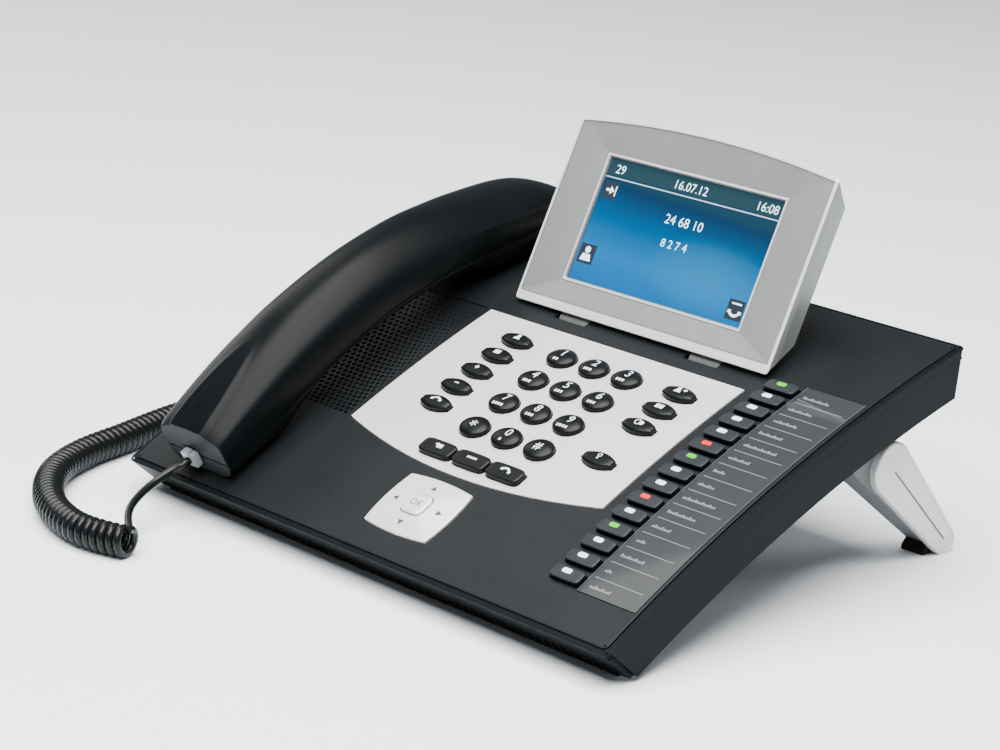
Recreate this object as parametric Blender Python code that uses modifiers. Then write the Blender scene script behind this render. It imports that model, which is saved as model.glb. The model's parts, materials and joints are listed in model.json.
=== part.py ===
"""Desk IP phone with a tilting colour display, a corded handset and a fold-out stand.

All sizes are millimetres; helpers turn them into metres when they make a mesh.
The deck is an arched plate.  A deck place is (x, s, h): x across the phone, s the arc
length from the front edge and h the height along the local normal of the deck.
"""
import math

import bmesh
import bpy
from mathutils import Matrix, Vector

MM = 0.001
GAP = 0.35                    # clearance between neighbouring pieces

# ---- driving dimensions -------------------------------------------------------------
BODY_WIDTH = 272.0
DECK_ARC = 215.0              # deck length from front edge to rear edge, along the arch
DECK_RADIUS = 731.8           # radius of the arch
BODY_HEIGHT = 19.2            # deck surface to underside
END_LEAN = 0.365              # how far the front and rear faces lean in, per depth below the deck
RIM_DROP = 0.5                # top of the side band below the deck
WALL = 2.4
TILT = math.radians(21.4)     # deck tilt on the extended stand
FOOT_S, FOOT_H = 6.8, -20.3   # deck place of the front rubber strip's lowest edge
ORIGIN_Y = -91.1              # moves the front contact line so that Y=0 is mid depth

STRIP_STEP = 12.0             # length of one flat strip of the arched surfaces
KEY_SIDES = 16

# keypad: centre of the rear-left digit key, and the pitches
DIGIT_X, DIGIT_S = -1.3, 128.1
DIGIT_PITCH_X, DIGIT_PITCH_S = 17.8, 17.3
SIDE_PITCH_S = 12.1
LEFT_KEY_X, LEFT_KEY_S = -28.4, 129.6
RIGHT_KEY_X, RIGHT_KEY_S = 61.6, 129.1
LOW_RIGHT_KEY_S = 81.2
CALL_KEY_X, CALL_KEY_S, CALL_PITCH_X = -5.4, 59.0, 18.7
LINE_KEY_X, LINE_KEY_S, LINE_PITCH_S = 95.2, 151.5, 9.0
NAV_X, NAV_S = 11.0, 29.8

# key faces: length across, length along, roundness exponent, height above the deck;
# an exponent of 0 is a barrel shape, with bowed long sides and short straight ends
DIGIT_KEY = (14.0, 11.6, 2.0, 3.2)
SIDE_KEY = (15.6, 8.0, 0.0, 3.0)
BARREL_END = 0.42             # length of a barrel's straight end, as a share of its middle
CALL_KEY = (17.6, 8.0, 5.0, 2.8)
LINE_KEY = (14.8, 6.2, 7.0, 2.2)
NAV_PAD = (36.6, 31.0, 2.0)   # length across, length along, height above the deck
NAV_BOW = 1.4                 # how far the pad's four sides bow out
OK_KEY = (11.2, 10.6, 4.0, 2.9)
KEY_BASE = -4.6               # height of the underside of every key

# silver keypad plate and the pieces set in the deck
PLATE_X = (-58.5, 81.7)
PLATE_S = (47.5, 144.8)
PLATE_BOW_EDGE, PLATE_BOW = 62.0, 12.2
PLATE_H = (-1.2, 0.4)
GRILLE_X, GRILLE_S = (-118.6, -61.6), (61.0, 146.0)
GRILLE_DISH, GRILLE_THICKNESS = 3.6, 1.4
LABEL_X, LABEL_S = (103.3, 131.3), (21.5, 157.9)

# display: a frame on two arms whose trunnions turn in ears under the deck
DISPLAY_X = 15.3
HINGE_Y, HINGE_Z = 158.0, 2.0
DISPLAY_ANGLE = math.radians(42.2)
DISPLAY_WIDTH = 139.0
DISPLAY_V = (2.0, 84.1)       # lower and upper edge of the front, from the hinge axis
DISPLAY_CROWN = 4.5           # rise of the upper edge's arc
DISPLAY_FRONT, DISPLAY_SPLIT, DISPLAY_REAR = 6.95, 3.45, -4.35
REAR_V = (16.5, 76.3)
SCREEN_X, SCREEN_V = -1.1, 43.7
SCREEN_SIZE = (95.0, 54.0)
BEZEL_LIP, BEZEL_DEPTH = 2.2, 2.4
ARM_OFFSET, ARM_WIDTH = 36.0, 16.0
BARREL_RADIUS, TRUNNION_RADIUS, TRUNNION_LENGTH = 4.6, 2.2, 4.4
EAR_THICKNESS = 4.0

# stand: two tapered legs on a bar that turns in lugs under the body
PIVOT_Y, PIVOT_Z, PIVOT_RADIUS = 161.3, -24.1, 9.6
TOE_Y, TOE_Z, TOE_RADIUS = 194.0, -85.9, 5.4
LEG_X = (109.5, 126.0)
BAR_RADIUS, LUG_X = 4.0, (88.0, 94.0)
WEB_LENGTH, WEB_THICKNESS = 20.0, 3.2

# handset: stations along s of (s, half width, crest, shoulder, seam, underside)
HANDSET_X = -95.0
HANDSET_STATIONS = (
    (9.0, 19.0, 23.2, 19.4, 8.8, 1.0),
    (24.0, 19.4, 27.6, 22.4, 9.6, 0.8),
    (42.0, 19.8, 32.2, 25.2, 10.8, 1.4),
    (58.0, 20.0, 35.4, 27.0, 12.6, 8.6),
    (76.0, 20.2, 38.2, 28.4, 15.2, 12.6),
    (107.0, 20.4, 40.2, 29.0, 18.0, 14.0),
    (138.0, 20.8, 38.8, 28.2, 17.2, 12.8),
    (158.0, 21.0, 35.8, 26.6, 15.6, 8.0),
    (174.0, 21.2, 32.8, 25.0, 13.8, 1.4),
    (203.0, 21.0, 26.4, 20.6, 11.4, 0.8),
    (218.0, 19.6, 19.4, 15.2, 9.0, 1.0),
    (227.0, 17.0, 11.0, 9.0, 6.4, 2.6),
)
HANDSET_ROW_STEP = 12.0
HANDSET_WALL = 1.8
HANDSET_LIFT_S = 107.5

# cord: wire and coil sizes, and routes on the table from the front contact line, at y = 0
WIRE_DIAMETER = 3.4
COIL_DIAMETER = 13.5
PLUG = (7.6, 12.0, 6.4)       # width, length, height of a modular handset plug
JACK_X, JACK_H = -98.0, 7.5
HANDSET_LEAD = ((-100.5, -20.5, 20.2), (-100.8, -31.0, 16.4), (-97.0, -42.5, 13.2),
                (-90.5, -51.0, 11.2), (-80.5, -58.4, 10.2))
COIL_ROUTE = ((-74.0, -63.5), (-86.0, -67.6), (-101.0, -69.0), (-122.8, -63.3), (-143.5, -50.9),
              (-160.1, -33.8), (-170.5, -11.7), (-176.0, 12.9), (-181.0, 33.4), (-184.2, 50.0),
              (-184.6, 66.0))
BASE_JACK_S, BASE_JACK_H, HEADSET_JACK_S = 100.0, -10.5, 84.0
BASE_LEAD = ((-184.5, 66.8, 6.9), (-183.5, 76.0, 9.0), (-178.0, 84.5, 17.0), (-168.0, 87.0, 30.0),
             (-157.0, 82.0, 42.0), (-149.0, 78.4, 47.2))
NETWORK_JACKS_X = (-74.0, -54.0)
NETWORK_OPENING = (12.4, 8.4)

DECK_HALF_ANGLE = DECK_ARC / 2 / DECK_RADIUS
DECK_HALF_CHORD = DECK_RADIUS * math.sin(DECK_HALF_ANGLE)
DECK_DROP = DECK_RADIUS * math.cos(DECK_HALF_ANGLE)


# ---- places -------------------------------------------------------------------------
def deck_point(x, s, h):
    """Deck-frame point of a deck place."""
    angle = (s - DECK_ARC / 2) / DECK_RADIUS
    radius = DECK_RADIUS + h
    return Vector((x, radius * math.sin(angle) + DECK_HALF_CHORD, radius * math.cos(angle) - DECK_DROP))


def deck_matrix(x, s, h=0.0):
    """Local frame on the deck, Z along the normal, in metres."""
    angle = (s - DECK_ARC / 2) / DECK_RADIUS
    return Matrix.Translation(deck_point(x, s, h) * MM) @ Matrix.Rotation(-angle, 4, "X")


def deck_to_table():
    """Frame of the deck in the phone's frame: tilted about the front contact line."""
    contact = deck_point(0.0, FOOT_S, FOOT_H)
    turn = Matrix.Rotation(TILT, 4, "X")
    return Matrix.Translation(Vector((0, ORIGIN_Y, 0)) * MM) @ turn @ Matrix.Translation(-contact * MM)


def table_z(y):
    """Deck-frame height of the table under deck-frame y."""
    contact = deck_point(0.0, FOOT_S, FOOT_H)
    return contact.z - (y - contact.y) * math.tan(TILT)


# ---- modelling helpers --------------------------------------------------------------
def clear_scene():
    for thing in list(bpy.data.objects):
        bpy.data.objects.remove(thing, do_unlink=True)


def collection(name, hidden=False):
    group = bpy.data.collections.new(name)
    bpy.context.scene.collection.children.link(group)
    group.hide_render = hidden
    return group


def material(name, color, roughness, metallic=0.0):
    mat = bpy.data.materials.new(name)
    mat.use_nodes = True
    shader = mat.node_tree.nodes["Principled BSDF"]
    shader.inputs["Base Color"].default_value = (*color, 1.0)
    shader.inputs["Roughness"].default_value = roughness
    shader.inputs["Metallic"].default_value = metallic
    return mat


def finish_mesh(mesh, name, mat=None, parent=None, matrix=None, smooth=None):
    """Object for a bmesh whose points are millimetres; without a material it is a cutter."""
    bmesh.ops.scale(mesh, vec=(MM, MM, MM), verts=mesh.verts)
    bmesh.ops.recalc_face_normals(mesh, faces=mesh.faces)
    data = bpy.data.meshes.new(name)
    mesh.to_mesh(data)
    mesh.free()
    thing = bpy.data.objects.new(name, data)
    place(thing, mat, parent, matrix)
    if smooth is not None:
        data.shade_smooth()
        data.set_sharp_from_angle(angle=math.radians(smooth))
    return thing


def place(thing, mat, parent, matrix):
    if mat is None:
        CUTTERS.objects.link(thing)
        thing.display_type = "WIRE"
        thing.hide_render = True
    else:
        PARTS.objects.link(thing)
        thing.data.materials.append(mat)
    thing.parent = parent
    if matrix is not None:
        thing.matrix_local = matrix


def empty(name, parent, matrix):
    thing = bpy.data.objects.new(name, None)
    PARTS.objects.link(thing)
    thing.parent = parent
    thing.matrix_local = matrix
    thing.empty_display_size = 0.01
    return thing


def box(name, x, y, z, mat=None, parent=None, matrix=None, bevel=0.0):
    """Straight box between corner values."""
    mesh = bmesh.new()
    bmesh.ops.create_cube(mesh, size=1.0)
    for vert in mesh.verts:
        vert.co = Vector(((x[0] + x[1]) / 2 + vert.co.x * (x[1] - x[0]),
                          (y[0] + y[1]) / 2 + vert.co.y * (y[1] - y[0]),
                          (z[0] + z[1]) / 2 + vert.co.z * (z[1] - z[0])))
    if bevel:
        bmesh.ops.bevel(mesh, geom=mesh.edges[:], offset=bevel, segments=1, affect="EDGES")
    return finish_mesh(mesh, name, mat, parent, matrix)


def arched(name, x, s, h, mat=None, parent=None, corner=0.0, lean=0.0):
    """Box between deck-place values, cut in strips along s and bent to the arch.

    corner rounds the four upright edges; lean moves the ends in with depth below the deck.
    """
    mesh = bmesh.new()
    bmesh.ops.create_cube(mesh, size=1.0)
    for vert in mesh.verts:
        level = h[0] if vert.co.z < 0 else h[1]
        end = s[0] - lean * level if vert.co.y < 0 else s[1] + lean * level
        vert.co = Vector((x[0] if vert.co.x < 0 else x[1], end, level))
    if corner:
        upright = [edge for edge in mesh.edges if abs(edge.verts[0].co.z - edge.verts[1].co.z) > 0.1]
        bmesh.ops.bevel(mesh, geom=upright, offset=corner, segments=2, affect="EDGES")
    strips = int((s[1] - s[0]) / STRIP_STEP)
    for index in range(1, strips + 1):
        cut = s[0] + (s[1] - s[0]) * index / (strips + 1)
        bmesh.ops.bisect_plane(mesh, geom=mesh.verts[:] + mesh.edges[:] + mesh.faces[:],
                               plane_co=(0, cut, 0), plane_no=(0, 1, 0))
    bend(mesh)
    return finish_mesh(mesh, name, mat, parent)


def bend(mesh):
    for vert in mesh.verts:
        vert.co = deck_point(*vert.co)


def prism(name, outline, x, mat=None, parent=None, matrix=None, smooth=None):
    """Outline in the YZ plane, drawn out along X between two values."""
    mesh = bmesh.new()
    face = mesh.faces.new([mesh.verts.new((x[0], y, z)) for y, z in outline])
    grown = bmesh.ops.extrude_face_region(mesh, geom=[face])
    moved = [item for item in grown["geom"] if isinstance(item, bmesh.types.BMVert)]
    bmesh.ops.translate(mesh, vec=(x[1] - x[0], 0, 0), verts=moved)
    return finish_mesh(mesh, name, mat, parent, matrix, smooth)


def cylinder_x(name, radius, x, y, z, mat=None, parent=None, matrix=None, sides=24):
    circle = [(y + radius * math.cos(turn), z + radius * math.sin(turn))
              for turn in (2 * math.pi * step / sides for step in range(sides))]
    return prism(name, circle, x, mat, parent, matrix, 40)


def loft(name, rings, mat=None, parent=None, matrix=None, smooth=None, caps=True):
    """Skin between rings of points; closed rings and caps make it a solid."""
    mesh = bmesh.new()
    loops = [[mesh.verts.new(point) for point in ring] for ring in rings]
    for near, far in zip(loops, loops[1:]):
        for step in range(len(near) if caps else len(near) - 1):
            after = (step + 1) % len(near)
            mesh.faces.new((near[step], near[after], far[after], far[step]))
    if caps:
        mesh.faces.new(loops[0])
        mesh.faces.new(loops[-1])
    return finish_mesh(mesh, name, mat, parent, matrix, smooth)


def barrel(width, length, steps=6):
    """Outline with two bowed long sides and two short straight ends."""
    long_side = []
    for step in range(steps + 1):
        share = 2 * step / steps - 1
        bow = BARREL_END + (1 - BARREL_END) * (1 - share * share)
        long_side.append((share * width / 2, length / 2 * bow))
    return [(-x, y) for x, y in long_side] + [(x, -y) for x, y in long_side]


def bowed_square(width, length, bow, steps=8):
    """Outline with four sides bowed outward that meet in pointed corners."""
    x_half, y_half = width / 2 - bow, length / 2 - bow
    shares = [2 * step / steps - 1 for step in range(steps)]
    rear = [(-x_half * share, y_half + bow * (1 - share * share)) for share in shares]
    left = [(-x_half - bow * (1 - share * share), -y_half * share) for share in shares]
    return rear + left + [(-x, -y) for x, y in rear + left]


def superellipse(width, length, power, sides=KEY_SIDES):
    """Outline that goes from an ellipse at power 2 to a rounded rectangle at high powers."""
    points = []
    for step in range(sides):
        turn = 2 * math.pi * (step + 0.5) / sides
        across, along = math.cos(turn), math.sin(turn)
        points.append((math.copysign(abs(across) ** (2 / power), across) * width / 2,
                       math.copysign(abs(along) ** (2 / power), along) * length / 2))
    return points


def smooth_route(points, step):
    """Points about one step apart on a smooth curve through the given points."""
    points = [Vector(point) for point in points]
    ends = [points[0] * 2 - points[1], *points, points[-1] * 2 - points[-2]]
    route = [points[0]]
    for before, start, end, after in zip(ends, ends[1:], ends[2:], ends[3:]):
        pieces = max(1, round((end - start).length / step))
        for piece in range(1, pieces + 1):
            t = piece / pieces
            bend_in = (2 * before - 5 * start + 4 * end - after) * t * t
            route.append(0.5 * (2 * start + (end - before) * t + bend_in
                                + (3 * start - before - 3 * end + after) * t ** 3))
    return route


def boolean(thing, other, operation="DIFFERENCE"):
    modifier = thing.modifiers.new(operation.lower(), "BOOLEAN")
    modifier.operation = operation
    modifier.object = other
    modifier.solver = "EXACT"


def solidify(thing, thickness):
    modifier = thing.modifiers.new("wall", "SOLIDIFY")
    modifier.thickness = thickness * MM
    modifier.offset = -1.0
    modifier.use_even_offset = True


def tube(name, points, diameter, mat, resolution=2):
    """Round tube along world points given in millimetres."""
    curve = bpy.data.curves.new(name, "CURVE")
    curve.dimensions = "3D"
    curve.bevel_depth = diameter / 2 * MM
    curve.bevel_resolution = resolution
    curve.use_fill_caps = True
    spline = curve.splines.new("POLY")
    spline.points.add(len(points) - 1)
    for slot, point in zip(spline.points, points):
        slot.co = (*(Vector(point) * MM), 1.0)
    thing = bpy.data.objects.new(name, curve)
    place(thing, mat, None, None)
    return thing


# ---- keys ---------------------------------------------------------------------------
def key_places():
    """(name, x, s, shape) of every key on the deck, in reading order."""
    keys = []
    digits = ("1", "2", "3", "4", "5", "6", "7", "8", "9", "star", "0", "hash")
    for index, digit in enumerate(digits):
        row, column = divmod(index, 3)
        x, s = DIGIT_X + column * DIGIT_PITCH_X, DIGIT_S - row * DIGIT_PITCH_S
        keys.append((f"digit_key_{digit}", x, s, DIGIT_KEY))
    for row in range(5):
        keys.append((f"left_key_{row + 1}", LEFT_KEY_X, LEFT_KEY_S - row * SIDE_PITCH_S, SIDE_KEY))
    for row in range(3):
        keys.append((f"right_key_{row + 1}", RIGHT_KEY_X, RIGHT_KEY_S - row * SIDE_PITCH_S, SIDE_KEY))
    keys.append(("right_key_4", RIGHT_KEY_X, LOW_RIGHT_KEY_S, SIDE_KEY))
    for column in range(3):
        keys.append((f"call_key_{column + 1}", CALL_KEY_X + column * CALL_PITCH_X, CALL_KEY_S, CALL_KEY))
    for row in range(15):
        keys.append((f"line_key_{row + 1}", LINE_KEY_X, LINE_KEY_S - row * LINE_PITCH_S, LINE_KEY))
    return keys


def key_outline(shape, grow=0.0):
    """Outline of a key's face, grown on every side."""
    width, length, power, _ = shape
    width, length = width + 2 * grow, length + 2 * grow
    return superellipse(width, length, power) if power else barrel(width, length)


def nav_outline(grow=0.0):
    return bowed_square(NAV_PAD[0] + 2 * grow, NAV_PAD[1] + 2 * grow, NAV_BOW)


def stacked(outline, levels):
    """Rings of one outline, each at its own scale and height."""
    return [[(x * scale, y * scale, level) for x, y in outline] for scale, level in levels]


def key(name, x, s, shape, parent, mat):
    """Key from its underside to the soft dome of its face."""
    height = shape[3]
    levels = ((1.0, KEY_BASE), (1.0, height - 1.1), (0.93, height - 0.4), (0.66, height))
    return loft(name, stacked(key_outline(shape), levels), mat, parent, deck_matrix(x, s), 35)


def key_hole(x, s, outline, parent):
    rings = stacked(outline, ((1.0, KEY_BASE - 2), (1.0, 6.0)))
    return loft("key_hole", rings, None, parent, deck_matrix(x, s))


def nav_keys(parent, silver):
    """Four-way pad, a shallow pyramid, with the OK key in its middle."""
    height = NAV_PAD[2]
    rings = stacked(nav_outline(), ((1.0, KEY_BASE), (1.0, height - 1.4), (0.4, height)))
    pad = loft("nav_pad", rings, silver, parent, deck_matrix(NAV_X, NAV_S), 20)
    boolean(pad, key_hole(NAV_X, NAV_S, key_outline(OK_KEY, GAP), parent))
    key("ok_key", NAV_X, NAV_S, OK_KEY, parent, silver)


# ---- deck and body ------------------------------------------------------------------
def keypad_region(name, grow, h, mat=None, parent=None):
    """Arched plate of the keypad's outline, grown by a margin; its front edge is bowed."""
    region = arched(name, (PLATE_X[0] - grow, PLATE_X[1] + grow), (PLATE_S[0] - grow, PLATE_S[1] + grow),
                    h, mat, parent)
    half = (PLATE_X[1] - PLATE_X[0]) / 2 + grow + 6
    middle = (PLATE_X[0] + PLATE_X[1]) / 2
    steps = 16
    shares = [2 * step / steps - 1 for step in range(steps + 1)]
    edge = PLATE_BOW_EDGE - grow
    bow = [(middle + half * share, edge - PLATE_BOW * (1 - share * share)) for share in shares]
    outline = [(middle - half, 10.0), *bow, (middle + half, 10.0)]
    rings = [[(x, y, level) for x, y in outline] for level in (-40.0, 40.0)]
    front = loft(name + "_front", rings, None, parent)
    boolean(region, front)
    return region


def display_ears(parent, lid):
    """Slots for the display's arms, with a bearing ear on each side of both."""
    for side in (-1, 1):
        x = DISPLAY_X + side * ARM_OFFSET
        slot = ARM_WIDTH / 2 + 0.8
        for face in (-1, 1):
            near, far = sorted((x + face * slot, x + face * (slot + EAR_THICKNESS)))
            ear = box("display_ear", (near, far), (HINGE_Y - 6.5, HINGE_Y + 7.0),
                      (HINGE_Z - 6.0, HINGE_Z + 2.9), None, parent)
            boolean(lid, ear, "UNION")
        boolean(lid, box("arm_slot", (x - slot, x + slot), (152.3, 171.6), (-12.0, 12.0), None, parent))
    reach = ARM_OFFSET + ARM_WIDTH / 2 + EAR_THICKNESS + 2
    boolean(lid, cylinder_x("trunnion_bore", TRUNNION_RADIUS + 0.4, (DISPLAY_X - reach, DISPLAY_X + reach),
                            HINGE_Y, HINGE_Z, None, parent))


def deck_lid(parent, keys, mat):
    """The arched top plate with openings for keys, grille, label strip and display arms."""
    half = BODY_WIDTH / 2 - WALL - GAP
    ends = (WALL + GAP, DECK_ARC - WALL - GAP)
    lid = arched("deck_lid", (-half, half), ends, (-WALL, 0.0), mat, parent, 1.6, END_LEAN)
    display_ears(parent, lid)
    boolean(lid, keypad_region("keypad_pocket", GAP, (PLATE_H[0] - GAP, 5.0), None, parent))
    boolean(lid, keypad_region("keypad_window", -3.0, (-8.0, 8.0), None, parent))
    boolean(lid, arched("grille_window", GRILLE_X, GRILLE_S, (-8.0, 8.0), None, parent))
    boolean(lid, arched("label_pocket", (LABEL_X[0] - GAP, LABEL_X[1] + GAP),
                        (LABEL_S[0] - GAP, LABEL_S[1] + GAP), (-1.4, 5.0), None, parent))
    boolean(lid, box("hook_window", (-4.0, 4.0), (-3.0, 3.0), (-8.0, 8.0), None, parent, hook_matrix()))
    boolean(lid, key_hole(NAV_X, NAV_S, nav_outline(GAP), parent))
    for name, x, s, shape in keys:
        if name.startswith("line_key"):
            boolean(lid, key_hole(x, s, key_outline(shape, GAP), parent))
    return lid


def hook_matrix():
    return deck_matrix(HANDSET_X, 190.0)


def body_tub(parent, mat):
    """Side band and floor in one, with jack openings, screw posts and lugs for the stand."""
    half = BODY_WIDTH / 2
    tub = arched("body_tub", (-half, half), (0.0, DECK_ARC), (-BODY_HEIGHT, -RIM_DROP), mat, parent, 2.0,
                 END_LEAN)
    inner = arched("tub_inside", (-half + WALL, half - WALL), (WALL, DECK_ARC - WALL),
                   (-BODY_HEIGHT + WALL, 5.0), None, parent, 1.0, END_LEAN)
    boolean(tub, inner)
    for x in (-half + 9, half - 9):
        for s in (14.0, DECK_ARC - 16.0):
            post = [[(px, py, level) for px, py in superellipse(7.0, 7.0, 2.0, 12)]
                    for level in (-BODY_HEIGHT + 1.0, -WALL - GAP)]
            boolean(tub, loft("screw_post", post, None, parent, deck_matrix(x, s)), "UNION")
    for side in (-1, 1):
        edges = sorted((side * LUG_X[0], side * LUG_X[1]))
        lug = box("stand_lug", edges, (PIVOT_Y - 7.5, PIVOT_Y + 7.5), (PIVOT_Z - 6.5, -12.5), None, parent)
        boolean(tub, lug, "UNION")
    boolean(tub, cylinder_x("bar_bore", BAR_RADIUS + 0.45, (-100.0, 100.0), PIVOT_Y, PIVOT_Z, None, parent))
    for s in (BASE_JACK_S, HEADSET_JACK_S):
        boolean(tub, box("side_jack_opening", (-half - 4, -half + 4), (-4.3, 4.3), (-3.7, 3.7), None, parent,
                         deck_matrix(0.0, s, BASE_JACK_H)))
    for x in NETWORK_JACKS_X:
        boolean(tub, box("network_opening", (x - 6.7, x + 6.7), (-14.0, 10.0), (-4.9, 4.9), None, parent,
                         deck_matrix(0.0, DECK_ARC, BASE_JACK_H)))
    return tub


def main_board(parent, mat):
    """Circuit board on the posts, in one with the jacks soldered to it."""
    level = (-7.6, -6.2)
    board = arched("main_board", (-120.0, 124.0), (24.0, 56.0), level, mat, parent)
    areas = (((-56.0, 124.0), (50.0, 146.0)), ((-132.8, -121.6), (44.0, 108.0)),
             ((-132.8, -110.0), (44.0, 54.0)), ((-98.0, -40.0), (160.0, 200.0)),
             ((-56.0, -40.0), (140.0, 170.0)))
    for x, s in areas:
        boolean(board, arched("board_area", x, s, level, None, parent), "UNION")
    for s in (BASE_JACK_S, HEADSET_JACK_S):
        place_at = deck_matrix(0.0, s, BASE_JACK_H)
        jack = box("side_jack", (-133.0, -118.4), (-6.0, 6.0), (-5.0, 5.2), None, parent, place_at)
        boolean(board, jack, "UNION")
        boolean(board, box("side_jack_mouth", (-136.0, -121.0), (-4.2, 4.2), (-3.6, 3.6), None, parent,
                           place_at))
    for x in NETWORK_JACKS_X:
        place_at = deck_matrix(x, DECK_ARC - 18.0, BASE_JACK_H)
        jack = box("network_jack", (-8.2, 8.2), (-12.0, 8.0), (-6.0, 6.4), None, parent, place_at)
        boolean(board, jack, "UNION")
        width, height = NETWORK_OPENING
        boolean(board, box("network_mouth", (-width / 2, width / 2), (-7.0, 12.0), (-height / 2, height / 2),
                           None, parent, place_at))
    return board


def speaker_grille(parent, mat):
    """Dished plate over the loudspeaker; it is also the hollow under the handset's grip."""
    rows, columns = 10, 8
    margin = 2 * GAP
    x0, x1 = GRILLE_X[0] + margin, GRILLE_X[1] - margin
    s0, s1 = GRILLE_S[0] + margin, GRILLE_S[1] - margin
    surface = []
    for row in range(rows + 1):
        v = 2 * row / rows - 1
        ring = []
        for column in range(columns + 1):
            u = 2 * column / columns - 1
            sag = GRILLE_DISH * (1 - abs(u) ** 3) * (1 - abs(v) ** 3)
            ring.append(deck_point(x0 + (u + 1) / 2 * (x1 - x0), s0 + (v + 1) / 2 * (s1 - s0), -0.4 - sag))
        surface.append(ring)
    grille = loft("speaker_grille", surface, mat, parent, None, 50, caps=False)
    solidify(grille, GRILLE_THICKNESS)
    return grille


def front_foot(parent, mat):
    """Rubber strip under the front edge, cut flat where it stands on the table."""
    front, rear = deck_point(0, FOOT_S, FOOT_H), deck_point(0, FOOT_S + 8.0, -BODY_HEIGHT - GAP)
    top = deck_point(0, FOOT_S + 1.2, -BODY_HEIGHT - GAP)
    flat_end = front.y + 5.0
    outline = [(front.y, front.z), (flat_end, table_z(flat_end)), (rear.y, rear.z), (top.y, top.z)]
    half = BODY_WIDTH / 2 - 8
    return prism("front_foot", outline, (-half, half), mat, parent)


# ---- display ------------------------------------------------------------------------
def display_outline(inset, low, high, crown, steps=12):
    """Front outline of the display: straight sides and an arched upper edge."""
    half = DISPLAY_WIDTH / 2 - inset
    arc = [(half * (1 - 2 * step / steps), high + crown * (1 - (1 - 2 * step / steps) ** 2))
           for step in range(steps + 1)]
    return [(-half, low), (half, low), *arc]


def display_slope(level):
    """Lower and upper edge of the display's casing at a depth behind the front."""
    share = (DISPLAY_FRONT - level) / (DISPLAY_FRONT - DISPLAY_REAR)
    return tuple(front + (rear - front) * share for front, rear in zip(DISPLAY_V, REAR_V))


def display_ring(level, inset=0.0):
    low, high = display_slope(level)
    return [(x, y, level) for x, y in display_outline(inset, low + inset, high - inset, DISPLAY_CROWN)]


def window_cutter(parent):
    """Opening of the bezel: four facets that slope in from the lip to the screen."""
    half, (low, high) = DISPLAY_WIDTH / 2 - BEZEL_LIP, DISPLAY_V
    wide = (-half, half, low + BEZEL_LIP, high + 1.0)
    narrow = (SCREEN_X - SCREEN_SIZE[0] / 2, SCREEN_X + SCREEN_SIZE[0] / 2,
              SCREEN_V - SCREEN_SIZE[1] / 2, SCREEN_V + SCREEN_SIZE[1] / 2)
    floor = DISPLAY_FRONT - BEZEL_DEPTH
    rings = [[(x0, y0, z), (x1, y0, z), (x1, y1, z), (x0, y1, z)]
             for (x0, x1, y0, y1), z in ((narrow, DISPLAY_SPLIT - 3), (narrow, floor), (wide, DISPLAY_FRONT),
                                         (wide, DISPLAY_FRONT + 3))]
    return loft("bezel_window", rings, None, parent)


def display(hinge, silver, grey, glass):
    bezel = loft("display_bezel", [display_ring(DISPLAY_SPLIT), display_ring(DISPLAY_FRONT)], silver, hinge)
    boolean(bezel, window_cutter(hinge))
    split = DISPLAY_SPLIT - GAP
    back = loft("display_back", [display_ring(DISPLAY_REAR, 1.0), display_ring(split, 0.6)], grey, hinge)
    for side in (-1, 1):
        x = side * ARM_OFFSET
        width = (x - ARM_WIDTH / 2, x + ARM_WIDTH / 2)
        boolean(back, box("display_arm", width, (0.0, 24.0), (-2.6, 1.2), None, hinge), "UNION")
        boolean(back, cylinder_x("arm_barrel", BARREL_RADIUS, width, 0, 0, None, hinge, sides=20), "UNION")
        pin = (width[0] - TRUNNION_LENGTH, width[1] + TRUNNION_LENGTH)
        boolean(back, cylinder_x("arm_trunnion", TRUNNION_RADIUS, pin, 0, 0, None, hinge, sides=16), "UNION")
    cavity = box("display_cavity", (-DISPLAY_WIDTH / 2 + 4, DISPLAY_WIDTH / 2 - 4),
                 (SCREEN_V - 30.5, SCREEN_V + 31), (DISPLAY_REAR + 1.8, DISPLAY_FRONT), None, hinge)
    boolean(back, cavity)
    width, height = SCREEN_SIZE
    box("lcd_panel", (SCREEN_X - width / 2 - 3, SCREEN_X + width / 2 + 3),
        (SCREEN_V - height / 2 - 2.6, SCREEN_V + height / 2 + 3), (DISPLAY_SPLIT - 4.2, DISPLAY_SPLIT - GAP),
        glass, hinge)


# ---- stand --------------------------------------------------------------------------
def teardrop(top_radius, toe_radius, steps=10):
    """Outline round the pivot and the toe, joined by their common tangents."""
    toe = Vector((TOE_Y - PIVOT_Y, TOE_Z - PIVOT_Z))
    heading = math.atan2(toe.y, toe.x)
    lean = math.acos((top_radius - toe_radius) / toe.length)
    points = []
    for centre, radius, start, sweep in ((Vector((0, 0)), top_radius, heading + lean, 2 * math.pi - 2 * lean),
                                         (toe, toe_radius, heading - lean, 2 * lean)):
        for step in range(steps + 1):
            turn = start + sweep * step / steps
            points.append((centre.x + radius * math.cos(turn), centre.y + radius * math.sin(turn)))
    return points


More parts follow.
